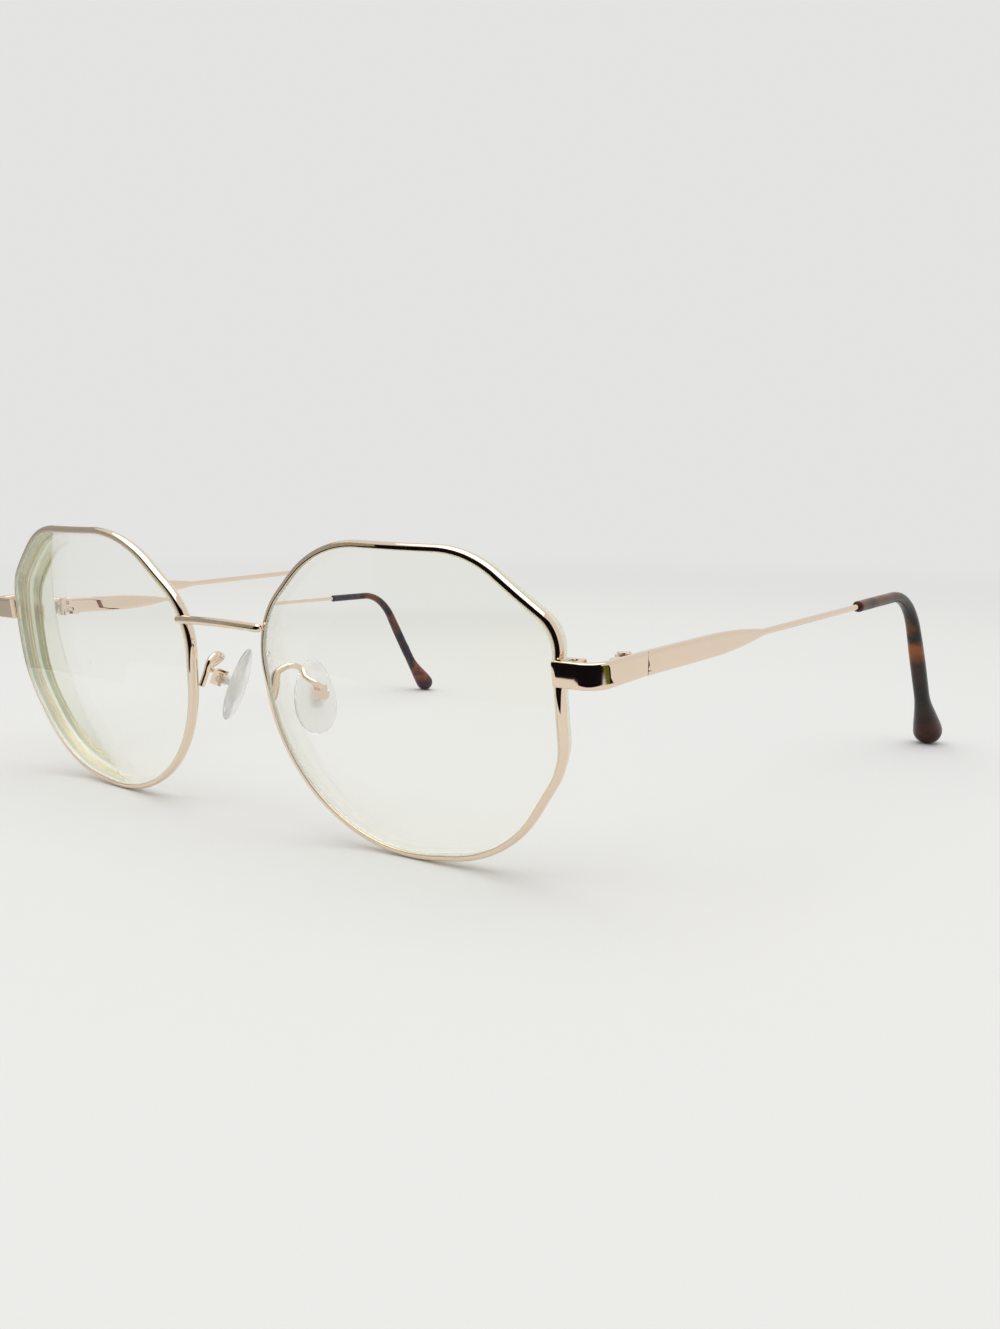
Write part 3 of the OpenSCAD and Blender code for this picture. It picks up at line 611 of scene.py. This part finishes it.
for side in SIDES:
    rings = eased_ends(mirrored(raw_rings + to_frame, side), RIM_CUT_EASE)
    wire = make_piece(f"{side}_rim_wire", rings, crease=50)
    place_piece(wire, "front", "frame_metal", rose_gold, f"{side}_rim")

# %% [markdown]
# ## Lenses
# A lens for short sight is thin in the middle and thick at the edge: a shallow sphere in front and
# a deeper, smaller sphere behind. Its edge is ground to a ridge that sits in the rim's groove. The
# two faces are rings of the outline drawn in towards the middle, each lying on its sphere.

# %% Lens surfaces
FRONT_RADIUS, REAR_RADIUS = 150.0, 86.0
LENS_T, DECENTRE, FRONT_LAND, SEAT = 1.2, 5.0, 0.1, 0.05
FACE_RINGS, FIRST_RING, RIDGE_STRIPS = 22, 0.002, 4
LENS_INSET = RIM_W / 2 + SEAT
lens_rim = outline - LENS_INSET * outline_normal
slack = outline_depth - sphere_depth(*lens_rim.T, FRONT_RADIUS)
front_apex = slack.min() - GROOVE_W / 2 - FRONT_LAND
rear_shift = -DECENTRE * (FRONT_RADIUS - REAR_RADIUS) / FRONT_RADIUS
rear_hub = (front_apex + sphere_depth(DECENTRE, 0.0, FRONT_RADIUS) + LENS_T
            + math.sqrt(REAR_RADIUS ** 2 - (DECENTRE + rear_shift) ** 2))


def rear_depth(u, v):
    """Depth of the hollow rear sphere, whose middle is moved along the lens by rear_shift."""
    return rear_hub - np.sqrt(REAR_RADIUS ** 2 - (u - rear_shift) ** 2 - v ** 2)


def lens_rings():
    """Rings from the middle of the front face over the ridge to the middle of the rear face.

    The ring a share t of the way out is the lens's rim times sin(90 t), closest near the edge."""
    shares = np.sin(np.linspace(FIRST_RING, 1, FACE_RINGS) * math.pi / 2)[:, None, None]
    u, v = np.moveaxis(lens_rim[None] * shares, -1, 0)
    front = np.stack([u, front_apex + sphere_depth(u, v, FRONT_RADIUS), v], -1)
    rear = np.stack([u, rear_depth(u, v), v], -1)[::-1]
    ridge = []
    for inset, back in ((LENS_INSET, -GROOVE_W / 2), (LENS_INSET - GROOVE_D, 0.0),
                        (LENS_INSET, GROOVE_W / 2)):
        edge = outline - inset * outline_normal
        ridge.append(np.stack([edge[:, 0], outline_depth + back, edge[:, 1]], -1))
    return in_front(np.concatenate([front, np.array(ridge), rear]))


lens_grid = lens_rings() + to_frame
for side in SIDES:
    blank = make_piece(f"{side}_lens_blank", mirrored(lens_grid, side), crease=25)
    place_piece(blank, "front", "lens_glass", lens_clear, f"{side}_lens")
    blank.data.materials.append(lens_edge)
    edge_faces = np.zeros(len(blank.data.polygons), np.int32)
    first = (FACE_RINGS - 1) * len(outline)
    edge_faces[first:first + RIDGE_STRIPS * len(outline)] = 1
    blank.data.polygons.foreach_set("material_index", edge_faces)

# %% [markdown]
# ## Bridge
# The bridge is one piece of round wire, bowed a little upwards and forwards, with its ends rounded
# off and brazed to the front of both rims.

# %% Bridge wire
BRIDGE_D, BRIDGE_RISE, BRIDGE_BOW = 1.35, 0.3, 0.6
BRIDGE_STOPS, BRIDGE_NUDGE = 40, 0.05
CORNER_SHARE = 0.96
bridge_high = np.array(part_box("bridge")[1]) / MM
bridge_half = bridge_high[0]
bridge_r = BRIDGE_D / 2


def bridge_path(x):
    """Across the nose: a parabola f = 1 - (x / half)^2 lifts the wire and carries it forwards."""
    f = 1 - (x / bridge_half) ** 2
    y = bridge_high[1] - bridge_r - BRIDGE_BOW * f
    z = bridge_high[2] - bridge_r - BRIDGE_RISE * (1 - f)
    return np.stack([x, y, z], -1)


def round_section(radius, arc):
    """Very nearly a circle: quarter arcs of 0.96 of the radius, with tiny straight lines between."""
    return rounded_section(radius, radius, CORNER_SHARE * radius, arc=arc, flat=0)


cap = np.radians(np.linspace(6, 90, 8))
cap_reach = bridge_half - bridge_r * (1 - np.cos(cap))
even = np.linspace(bridge_r - bridge_half, bridge_half - bridge_r, BRIDGE_STOPS)[1:-1]
stations = np.concatenate([-cap_reach, even, cap_reach[::-1]])
width = np.concatenate([np.sin(cap), np.ones(len(even)), np.sin(cap[::-1])])
heading = bridge_path(stations + BRIDGE_NUDGE) - bridge_path(stations - BRIDGE_NUDGE)
rings = rings_along(bridge_path(stations), heading, round_section(bridge_r * width, arc=7))
place_piece(make_piece("bridge_wire", rings), "front", "frame_metal", rose_gold, "bridge")

# %% [markdown]
# ## End pieces
# The strap starts flat against the front of the rim, turns the corner on a small radius and runs
# back to the hinge. It leans with the lens at the front and stands upright at the side, so its
# section rolls on the way round. Its edges are eased over a third of its thickness.

# %% Strap from rim to hinge
STRAP_T, STRAP_FRONT_H, STRAP_REAR_H, STRAP_EASE = 1.1, 3.65, 3.45, 0.3
STRAP_OUT, STRAP_BEND, STRAP_RUN, STRAP_RISE, STRAP_OVERLAP = 6.6, 2.6, 11.5, 0.6, 0.3
CUT_EASE = 0.04
side_u = LENS_W / 2
lock_point = in_front(np.array([side_u, sphere_depth(side_u, LOCK_H), LOCK_H]))
lock_back = sphere_depth(side_u, LOCK_H - STRAP_FRONT_H / 2) - RIM_D / 2 - SEAT
lock_front = in_front(np.array([side_u, lock_back, LOCK_H]))
strap_x, strap_y = lock_point[0] + STRAP_OUT, lock_front[1] - STRAP_T / 2
parting_y, parting_z = lock_front[1] + STRAP_RUN, lock_point[2] + STRAP_RISE


def strap_rings():
    """Front run, quarter circle and side run, with height and level changing on the way back."""
    corner = np.radians(np.linspace(0, 90, 19))
    front_x = np.linspace(LENS_CX + side_u - STRAP_OVERLAP, strap_x - STRAP_BEND, 8)[:-1]
    side_y = np.linspace(strap_y + STRAP_BEND, parting_y, 10)[1:]
    ahead, beside = np.zeros(len(front_x)), np.zeros(len(side_y))
    corner_x = strap_x - STRAP_BEND + STRAP_BEND * np.sin(corner)
    corner_y = strap_y + STRAP_BEND * (1 - np.cos(corner))
    x = np.concatenate([front_x, corner_x, beside + strap_x])
    y = np.concatenate([ahead + strap_y, corner_y, side_y])
    angle = np.concatenate([ahead, corner, beside + math.pi / 2])
    share = (y - strap_y) / (parting_y - strap_y)
    path = np.stack([x, y, mix(lock_point[2], parting_z, share)], -1)
    heading = np.stack([np.cos(angle), np.sin(angle), np.zeros(len(x))], -1)
    height = mix(STRAP_FRONT_H, STRAP_REAR_H, smooth_step(share))
    section = rounded_section(STRAP_T / 2, height / 2, STRAP_EASE * STRAP_T, flat=6)
    return rings_along(path, heading, section, roll=TILT * np.cos(angle))


for side in SIDES:
    rings = eased_ends(mirrored(strap_rings() + to_frame, side), CUT_EASE)
    strap = make_piece(f"{side}_end_strap", rings)
    place_piece(strap, "front", "frame_metal", rose_gold, f"{side}_end_piece")

# %% [markdown]
# ## Temples
# A temple is one length of metal: a flat blade behind the hinge that is drawn down to round wire.
# Its middle line is written by arc length: straight and slightly rising, then a bend over the ear,
# then the drop. The drop ends level with the foot of the rims, so the glasses stand on four
# points.

# %% Middle line of the temple
ARM_LEN, ARM_SLOPE, ARM_SPLAY, STOP_GAP = 93.6, 1.7, 0.3, 0.15
EAR_R, EAR_ANGLE, TOE_IN, TOE_POWER = 17.0, 56.0, 2.1, 1.4
SLEEVE_D, TIP_MID_D, TIP_END_D, TIP_FLAT = 2.1, 3.1, 6.2, 0.95
TIP_TURNS = np.radians([25, 45, 62, 75, 84])
slope, ear_end, splay = (math.radians(angle) for angle in (ARM_SLOPE, EAR_ANGLE, ARM_SPLAY))
bend_len = EAR_R * (slope + ear_end)
tip_round = TIP_END_D / 2
tip_belly = TIP_FLAT * (TIP_END_D - TIP_MID_D) / 2


def arm_run(s):
    """Distance back and height at arc length s: a straight rise, a circle over the ear, a drop."""
    straight = np.minimum(s, ARM_LEN)
    turned = slope - np.clip(s - ARM_LEN, 0, bend_len) / EAR_R
    drop = np.maximum(s - ARM_LEN - bend_len, 0)
    back = (straight * math.cos(slope) + EAR_R * (math.sin(slope) - np.sin(turned))
            + drop * math.cos(ear_end))
    rise = (straight * math.sin(slope) + EAR_R * (np.cos(turned) - math.cos(slope))
            - drop * math.sin(ear_end))
    return back, rise


# The rounded end reaches below the middle line by tip_low, which sets how long the drop can be.
round_reach = (TIP_FLAT * np.cos(TIP_TURNS) * math.cos(ear_end)
               - (1 - np.sin(TIP_TURNS)) * math.sin(ear_end))
tip_low = tip_round * round_reach.max() - tip_belly * math.cos(ear_end)
bend_height = parting_z + arm_run(ARM_LEN + bend_len)[1]
arm_total = ARM_LEN + bend_len + (bend_height - raw_low[2] - tip_low) / math.sin(ear_end)


def arm_point(s):
    """Place on the middle line: splayed a little outwards, with the drop toed in to the head."""
    back, rise = arm_run(s)
    toe = TOE_IN * (np.maximum(s - ARM_LEN, 0) / (arm_total - ARM_LEN)) ** TOE_POWER
    x = strap_x + back * math.sin(splay) - toe
    y = parting_y + STOP_GAP + back * math.cos(splay)
    return np.stack([x, y, parting_z + rise], -1)


def arm_rings(s, section):
    """Sections along the middle line, whose heading is the change of place over 0.2 mm."""
    return rings_along(arm_point(s), arm_point(s + 0.1) - arm_point(s - 0.1), section) + to_frame


print("temple length, mm:", round(arm_total, 1))

# %% Blade and core wire
BLADE_H, BLADE_T, BLADE_EVEN, BLADE_TAPER, TAPER_POWER = 3.45, 1.0, 17.0, 19.0, 2.2
CORE_D, CORE_TAIL, CORE_CORNERS, BLADE_CORNERS = 1.05, 20.0, 0.92, 0.5
taper_end, core_end = BLADE_EVEN + BLADE_TAPER, ARM_LEN + bend_len + CORE_TAIL


def temple_rings():
    """Blade share 1 - t^2.2 over the taper mixes the flat blade into round wire."""
    s = np.concatenate([
        np.linspace(0, BLADE_EVEN, 8)[:-1], np.linspace(BLADE_EVEN, taper_end, 40),
        np.linspace(taper_end, ARM_LEN, 14)[1:], np.linspace(ARM_LEN, core_end, 40)[1:],
    ])
    share = 1 - np.clip((s - BLADE_EVEN) / BLADE_TAPER, 0, 1) ** TAPER_POWER
    half_h = mix(CORE_D / 2, BLADE_H / 2, share)
    half_t = mix(CORE_D / 2, BLADE_T / 2, smooth_step(share))
    radius = mix(CORE_CORNERS, BLADE_CORNERS, share) * np.minimum(half_h, half_t)
    return arm_rings(s, rounded_section(half_t, half_h, radius))


print("blade's end and core's end, mm:", round(taper_end, 1), round(core_end, 1))

# %% Tip with its bore
SLEEVE_LEN, BORE_FIT, BORE_SPARE, LIP_END = 17.8, 0.04, 0.3, 0.6
LIP_STOPS, LIP_LESS = np.array([0, 0.04, 0.12, 0.25]), np.array([0.22, 0.1, 0.03, 0])
GROWN_BY, SWELL_FROM, SWELL_OVER, TIP_CORNERS = 0.55, 0.7, 0.28, 0.88


def tip_rings():
    """Up the bore from its end, round the mouth and down the outside to the rounded end.

    The thickness grows over the first half of bend and drop and swells at the end, where the
    section also moves to the rear by the same amount, so that the front edge stays straight."""
    mouth, round_from = ARM_LEN - SLEEVE_LEN, arm_total - tip_round
    tail_len = arm_total - ARM_LEN
    bore_s = np.concatenate([[core_end + BORE_SPARE], np.linspace(core_end, mouth, 40)])
    bore_r = np.full(len(bore_s), CORE_D / 2 + BORE_FIT)
    bore = arm_rings(bore_s, rounded_section(bore_r, bore_r, bore_r))
    s = np.concatenate([
        mouth + LIP_STOPS, np.linspace(mouth + LIP_END, ARM_LEN, 14),
        np.linspace(ARM_LEN, round_from, 70)[1:],
        round_from + tip_round * np.sin(np.radians(np.linspace(0, 88, 16)[1:])),
    ])
    down = smooth_step((s - ARM_LEN) / (GROWN_BY * tail_len))
    out = smooth_step((s - mix(ARM_LEN, arm_total, SWELL_FROM)) / (SWELL_OVER * tail_len))
    r = mix(mix(SLEEVE_D, TIP_MID_D, down), TIP_END_D, out) / 2
    r = r * np.sqrt(np.maximum(1 - (np.maximum(s - round_from, 0) / tip_round) ** 2, 0))
    r[:len(LIP_LESS)] -= LIP_LESS
    section = rounded_section(r, TIP_FLAT * r, TIP_CORNERS * r)
    section[..., 1] += tip_belly * out[:, None]
    return np.concatenate([bore, arm_rings(s, section)])


for side in SIDES:
    rings = eased_ends(mirrored(temple_rings(), side), CUT_EASE)
    blade = make_piece(f"{side}_temple_wire", rings)
    place_piece(blade, f"{side}_temple_arm", "frame_metal", rose_gold, f"{side}_temple")
    tip = make_piece(f"{side}_ear_tip", mirrored(tip_rings(), side), crease=60)
    place_piece(tip, f"{side}_temple_arm", "tip_acetate", tortoise, f"{side}_temple_tip")

# %% [markdown]
# ## Nose pads and their arms
# Each arm is a soft wire, bent up from the back of the rim and over in a loop, so that the
# optician can bend it to fit the nose. It ends in a small box that holds the pad by a screw. The
# pad is a milky silicone cushion moulded round a hard insert, whose grey shadow shows through.

# %% Pad place and arm
PAD_W, PAD_H, PAD_T, PAD_Y, PAD_OUT, PAD_DROP = 7.2, 13.0, 2.0, 11.4, -0.1, 2.3
PAD_SPLAY, PAD_FLARE, PAD_WIRE_D, PAD_SCREW_D = 28.0, 19.0, 1.0, 0.9
TAB_REACH, TAB_W, TAB_WALL, BOX_H, BOX_WALL, TURN_FIT = 2.3, 1.3, 0.25, 2.4, 0.45, 0.08
FOOT_HEIGHT, FOOT_IN, PAD_WIRE_EASE = -2.0, 0.2, 0.15
pad_centre = np.array([BRIDGE_GAP / 2 + PAD_OUT, PAD_Y, -PAD_DROP])
pad_pivot = PAD_T / 2 + TAB_REACH
tab_r = PAD_SCREW_D / 2 + BORE_FIT + TAB_WALL


def in_pad(points):
    """From the pad's own place, X through it, Y across and Z up, flared and then splayed."""
    return turn_points(turn_points(points, 1, -PAD_FLARE), 2, -PAD_SPLAY) + pad_centre


def nose_point(v):
    """Place on the nose side of the rim's middle line at the height v in the lens plane."""
    u0, v0, u1, v1 = *outline[:-1].T, *outline[1:].T
    k = np.flatnonzero((v0 <= v) & (v1 > v) & (u1 < 0))[0]
    u = mix(u0[k], u1[k], (v - v0[k]) / (v1[k] - v0[k]))
    return in_front(np.array([u, sphere_depth(u, v), v]))


def smooth_through(knots, steps=14):
    """A curve through the knots: cubic spans whose end slopes are half the neighbours' distance."""
    k = np.concatenate([knots[:1], knots, knots[-1:]])
    p0, p1, p2, p3 = (k[i:i + len(knots) - 1][:, None] for i in range(4))
    t = np.linspace(0, 1, steps, endpoint=False)[None, :, None]
    cubic = (2 * p1 + (p2 - p0) * t + (2 * p0 - 5 * p1 + 4 * p2 - p3) * t ** 2
             + (3 * p1 - p0 - 3 * p2 + p3) * t ** 3)
    return np.concatenate([0.5 * cubic.reshape(-1, knots.shape[1]), knots[-1:]])


wire_r = PAD_WIRE_D / 2
foot_back = (RIM_D / 2 + SEAT) / math.cos(math.radians(TILT)) + wire_r
foot = nose_point(FOOT_HEIGHT) + [(RIM_W - PAD_WIRE_D) / 2 - FOOT_IN, foot_back, 0]
box_depth = pad_pivot + tab_r + TURN_FIT + BOX_WALL + SEAT + wire_r
box_back = in_pad(np.array([box_depth, 0, (BOX_H - PAD_WIRE_D) / 2]))
arm_path = smooth_through(np.array([
    foot, foot + [-0.5, 0.6, 2.2], foot + [-0.9, 1.1, 4.2], foot + [-0.5, 2.9, 5.1],
    foot + [0.1, 4.6, 4.4], box_back + [-2.2, -1.3, 1.6], box_back + [-0.3, -1.1, 0.8], box_back,
]))
print("pad arm length, mm:", round(np.linalg.norm(np.diff(arm_path, axis=0), axis=1).sum(), 1))

# %% Nose pad and its insert
# Share of the outline and level in the thickness, from the middle of one face to that of the other.
PAD_PROFILE = np.array([[0.02, -0.45], [0.35, -0.42], [0.72, -0.34], [0.95, -0.12], [1, 0.1],
                        [0.9, 0.32], [0.6, 0.47], [0.3, 0.5], [0.02, 0.5]])
DROP_SHAPE = 0.14


def pad_rings():
    """Drop-shaped rings (1 - 0.14 sin a) cos a by sin a, sized and set by the cushion's profile."""
    share, level = smooth_through(PAD_PROFILE, 5).T[..., None]
    a = np.radians(np.linspace(0, 360, 64, endpoint=False))[None]
    across = PAD_W / 2 * (1 - DROP_SHAPE * np.sin(a)) * np.cos(a) * share
    return in_pad(np.stack([level * PAD_T + 0 * a, across, PAD_H / 2 * np.sin(a) * share], -1))


def insert_rings():
    """Through the pad: an oval plate in the silicone that narrows to the tab held by the box."""
    x = np.array([0.28, 0.34, 0.6, 0.72, 0.76, 0.84,
                  pad_pivot - 0.3, pad_pivot + 0.35, pad_pivot + tab_r - 0.06])
    half_w = np.array([1.0, 1.15, 1.15, 1.0, 0.62,
                       TAB_W / 2, TAB_W / 2, TAB_W / 2, TAB_W / 2 - 0.08])
    half_h = np.array([1.9, 2.15, 2.15, 1.9, 0.8, tab_r, tab_r, 0.62 * tab_r, 0.2])
    section = rounded_section(half_w, half_h, 0.9 * np.minimum(half_w, half_h), arc=6, flat=3)
    through = np.broadcast_to(x[:, None, None], section.shape[:2] + (1,))
    return in_pad(np.concatenate([through, section], -1))


section = round_section(np.full(len(arm_path), wire_r), arc=6)
pad_wire = rings_along(arm_path, np.gradient(arm_path, axis=0), section, up=(1, 0, 0)) + to_frame
for side in SIDES:
    pad_arm = make_piece(f"{side}_pad_wire", eased_ends(mirrored(pad_wire, side), PAD_WIRE_EASE))
    place_piece(pad_arm, "front", "frame_metal", rose_gold, f"{side}_pad_arm")
    cushion = make_piece(f"{side}_pad_cushion", mirrored(pad_rings() + to_frame, side), crease=80)
    place_piece(cushion, f"{side}_pad", "pad_silicone", silicone, f"{side}_nose_pad")
    insert = make_piece(f"{side}_pad_insert", mirrored(insert_rings() + to_frame, side), crease=50)
    place_piece(insert, f"{side}_pad", "pad_insert", insert_plastic, f"{side}_pad_core")

# %% [markdown]
# ## Small machined pieces
# Closing blocks, hinge leaves, pad boxes and screws are cut or stamped, and their shape in the
# frame is already right. What they lack is the eased edge that catches the light. A copy of each
# mesh is merged into one skin, and the Bevel modifier rounds its edges.

# %% Eased copies
MERGE_WITHIN, SAME_PLANE = 0.0005, 1
SHARP_FROM, BEVEL_FROM = 30, 40


def eased_copy(name, node, width, body, slot, material):
    """A merged copy of a node's mesh with its edges rounded to the width in millimetres."""
    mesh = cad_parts[node].data.copy()
    mesh.name = name
    mesh.materials.clear()
    skin = bmesh.new()
    skin.from_mesh(mesh)
    bmesh.ops.remove_doubles(skin, verts=skin.verts, dist=MERGE_WITHIN * MM)
    bmesh.ops.dissolve_limit(skin, angle_limit=math.radians(SAME_PLANE),
                             verts=skin.verts, edges=skin.edges)
    skin.to_mesh(mesh)
    skin.free()
    piece = skin_object(name, mesh, SHARP_FROM)
    bevel = piece.modifiers.new("eased_edges", "BEVEL")
    bevel.width = width * MM
    bevel.segments = 3
    bevel.limit_method = "ANGLE"
    bevel.angle_limit = math.radians(BEVEL_FROM)
    bevel.harden_normals = True
    return place_piece(piece, body, slot, material, node)


metal, steel = ("frame_metal", rose_gold), ("screw_steel", screw_steel)
for side in SIDES:
    arm = f"{side}_temple_arm"
    for name, node, width, body, finish in (
        ("upper_block", "upper_closing_block", 0.12, "front", metal),
        ("lower_block", "lower_closing_block", 0.12, "front", metal),
        ("block_screw", "closing_screw", 0.06, "front", steel),
        ("front_leaf", "front_hinge_leaf", 0.06, "front", metal),
        ("temple_leaf", "temple_hinge_leaf", 0.06, arm, metal),
        ("fold_screw", "hinge_screw", 0.05, "front", steel),
        ("stirrup", "pad_box", 0.2, "front", metal),
        ("stirrup_screw", "pad_screw", 0.08, "front", steel),
    ):
        eased_copy(f"{side}_{name}", f"{side}_{node}", width, body, *finish)

# %% [markdown]
# ## Table, light and surroundings
# The object stands on a plain pale table that fades into a background of the same tone. One large
# soft light hangs above it. Polished metal is only as good as what it mirrors. Here it mirrors a
# white sheet with rounded corners, because cloths that only reflections can see lie round a bright
# part of the table.

# %% Table and background
BACKGROUND = (0.775, 0.775, 0.765)
TABLE_NEAR, TABLE_FAR, TABLE_HALF, TABLE_LEVEL = 0.30, 0.75, 3.0, -0.00005


def dull_material(name, colour):
    """A material without any gloss, for a table or a cloth."""
    return start_material(name, Base_Color=(*colour, 1), Roughness=1.0, Specular_IOR_Level=0.0)


def table_finish():
    """Pale diffuse table that turns into the plain background tone away from the object."""
    material, tree, shader, output = dull_material("table_top", BACKGROUND)
    place = add_node(tree, "ShaderNodeTexCoord")
    length = add_node(tree, "ShaderNodeVectorMath", operation="LENGTH")
    far = add_node(tree, "ShaderNodeMapRange", interpolation_type="SMOOTHSTEP",
                   From_Min=TABLE_NEAR, From_Max=TABLE_FAR)
    glow = add_node(tree, "ShaderNodeEmission", Color=(*BACKGROUND, 1))
    tree.links.new(place.outputs["Object"], length.inputs[0])
    tree.links.new(length.outputs["Value"], far.inputs["Value"])
    choose_shader(tree, far.outputs["Result"], shader, glow, output)
    return material


def square_sheet(name, half, steps=25):
    """Flat square sheet, its half width in metres, from a grid of points."""
    line = np.linspace(-half, half, steps) / MM
    x, y = np.meshgrid(line, line, indexing="ij")
    points = np.stack([x, y, 0 * x], -1).reshape(-1, 3)
    return fill_mesh(name, points, grid_faces(steps, steps, closed=False))


table = square_sheet("table_top", TABLE_HALF)
table.location.z = TABLE_LEVEL
table.data.materials.append(table_finish())
print("table, m:", [round(d, 2) for d in table.dimensions])

# %% World and lamp
SOFT_LIGHT, SOFT_STRENGTH = (1.0, 0.995, 0.975), 0.66
LAMP_PLACE, LAMP_AIM, LAMP_SIZE, LAMP_POWER = (0.03, -0.1, 0.9), (0, 0, 0.02), 1.2, 5.4


def studio_world():
    """Pale background where it is seen, mirrored or looked at through glass, else soft light."""
    world = bpy.data.worlds.new("studio")
    world.use_nodes = True
    tree = world.node_tree
    tree.nodes.clear()
    seen = add_node(tree, "ShaderNodeBackground", Color=(*BACKGROUND, 1), Strength=1.0)
    soft = add_node(tree, "ShaderNodeBackground", Color=(*SOFT_LIGHT, 1), Strength=SOFT_STRENGTH)
    light = add_node(tree, "ShaderNodeLightPath").outputs
    mask = either_mask(tree, light["Is Camera Ray"], light["Is Glossy Ray"])
    mask = either_mask(tree, mask, light["Is Transmission Ray"])
    choose_shader(tree, mask, soft, seen, add_node(tree, "ShaderNodeOutputWorld"))
    return world


bpy.context.scene.world = studio_world()
lamp_data = bpy.data.lights.new("overhead_softbox", "AREA")
lamp_data.size = LAMP_SIZE
lamp_data.energy = LAMP_POWER
lamp = bpy.data.objects.new("overhead_softbox", lamp_data)
bpy.context.scene.collection.objects.link(lamp)
lamp.location = LAMP_PLACE
lamp.rotation_mode = "QUATERNION"
lamp.rotation_quaternion = (Vector(LAMP_PLACE) - Vector(LAMP_AIM)).to_track_quat("Z", "Y")
print("lamp:", lamp.name, LAMP_POWER, "W")

# %% Cloths for the reflections
SHEET_WIDE, SHEET_DEEP, SHEET_POWER = 0.190, 0.125, 2.4
CLOTH_FAR, CLOTH_LEVEL, CLOTH_TALL, CLOTH_LOW = 0.36, 0.0004, 0.30, 0.0005
GREY_CLOTH, BROWN_CLOTH = (0.42, 0.42, 0.41), (0.38, 0.36, 0.28)
DARK_CLOTH, OLIVE_CLOTH = (0.006, 0.005, 0.006), (0.10, 0.11, 0.012)


def reflected_cloth(name, start, end, height, colour, reach, columns=90):
    """Cloth outside the white sheet, with an upright strip behind it, between two headings.

    The sheet's edge is |x / wide|^p + |y / deep|^p = 1, scaled by its reach. Its distance at a
    heading follows from that. A much-mirrored ray goes straight through the cloth."""
    a = np.radians(np.linspace(start, end, columns))
    share = (np.abs(np.cos(a) / SHEET_WIDE) ** SHEET_POWER
             + np.abs(np.sin(a) / SHEET_DEEP) ** SHEET_POWER)
    near = reach * share ** (-1 / SHEET_POWER)
    radius = np.stack([near, np.full(columns, CLOTH_FAR), np.full(columns, CLOTH_FAR)])
    level = np.array([CLOTH_LEVEL, CLOTH_LEVEL, height])[:, None] + 0 * radius
    points = np.stack([radius * np.cos(a), radius * np.sin(a), level], -1).reshape(-1, 3) / MM
    cloth = fill_mesh(name, points, grid_faces(3, columns, closed=False))
    for kind in ("camera", "diffuse", "transmission", "shadow"):
        setattr(cloth, f"visible_{kind}", False)
    material, tree, shader, output = dull_material(name, colour)
    deep = deep_rays(tree, add_node(tree, "ShaderNodeLightPath"))
    choose_shader(tree, deep, shader, add_node(tree, "ShaderNodeBsdfTransparent"), output)
    cloth.data.materials.append(material)
    print(name, "from", start, "to", end, "degrees")


reflected_cloth("grey_cloth", -200, -126, CLOTH_TALL, GREY_CLOTH, 0.86)
reflected_cloth("brown_cloth", -126, -116, CLOTH_TALL, BROWN_CLOTH, 1.0)
reflected_cloth("dark_cloth", -116, -13, CLOTH_TALL, DARK_CLOTH, 1.0)
reflected_cloth("olive_cloth", -13, 17, CLOTH_LOW, OLIVE_CLOTH, 1.0)
reflected_cloth("dark_cloth_side", 17, 27, CLOTH_LOW, DARK_CLOTH, 1.0)
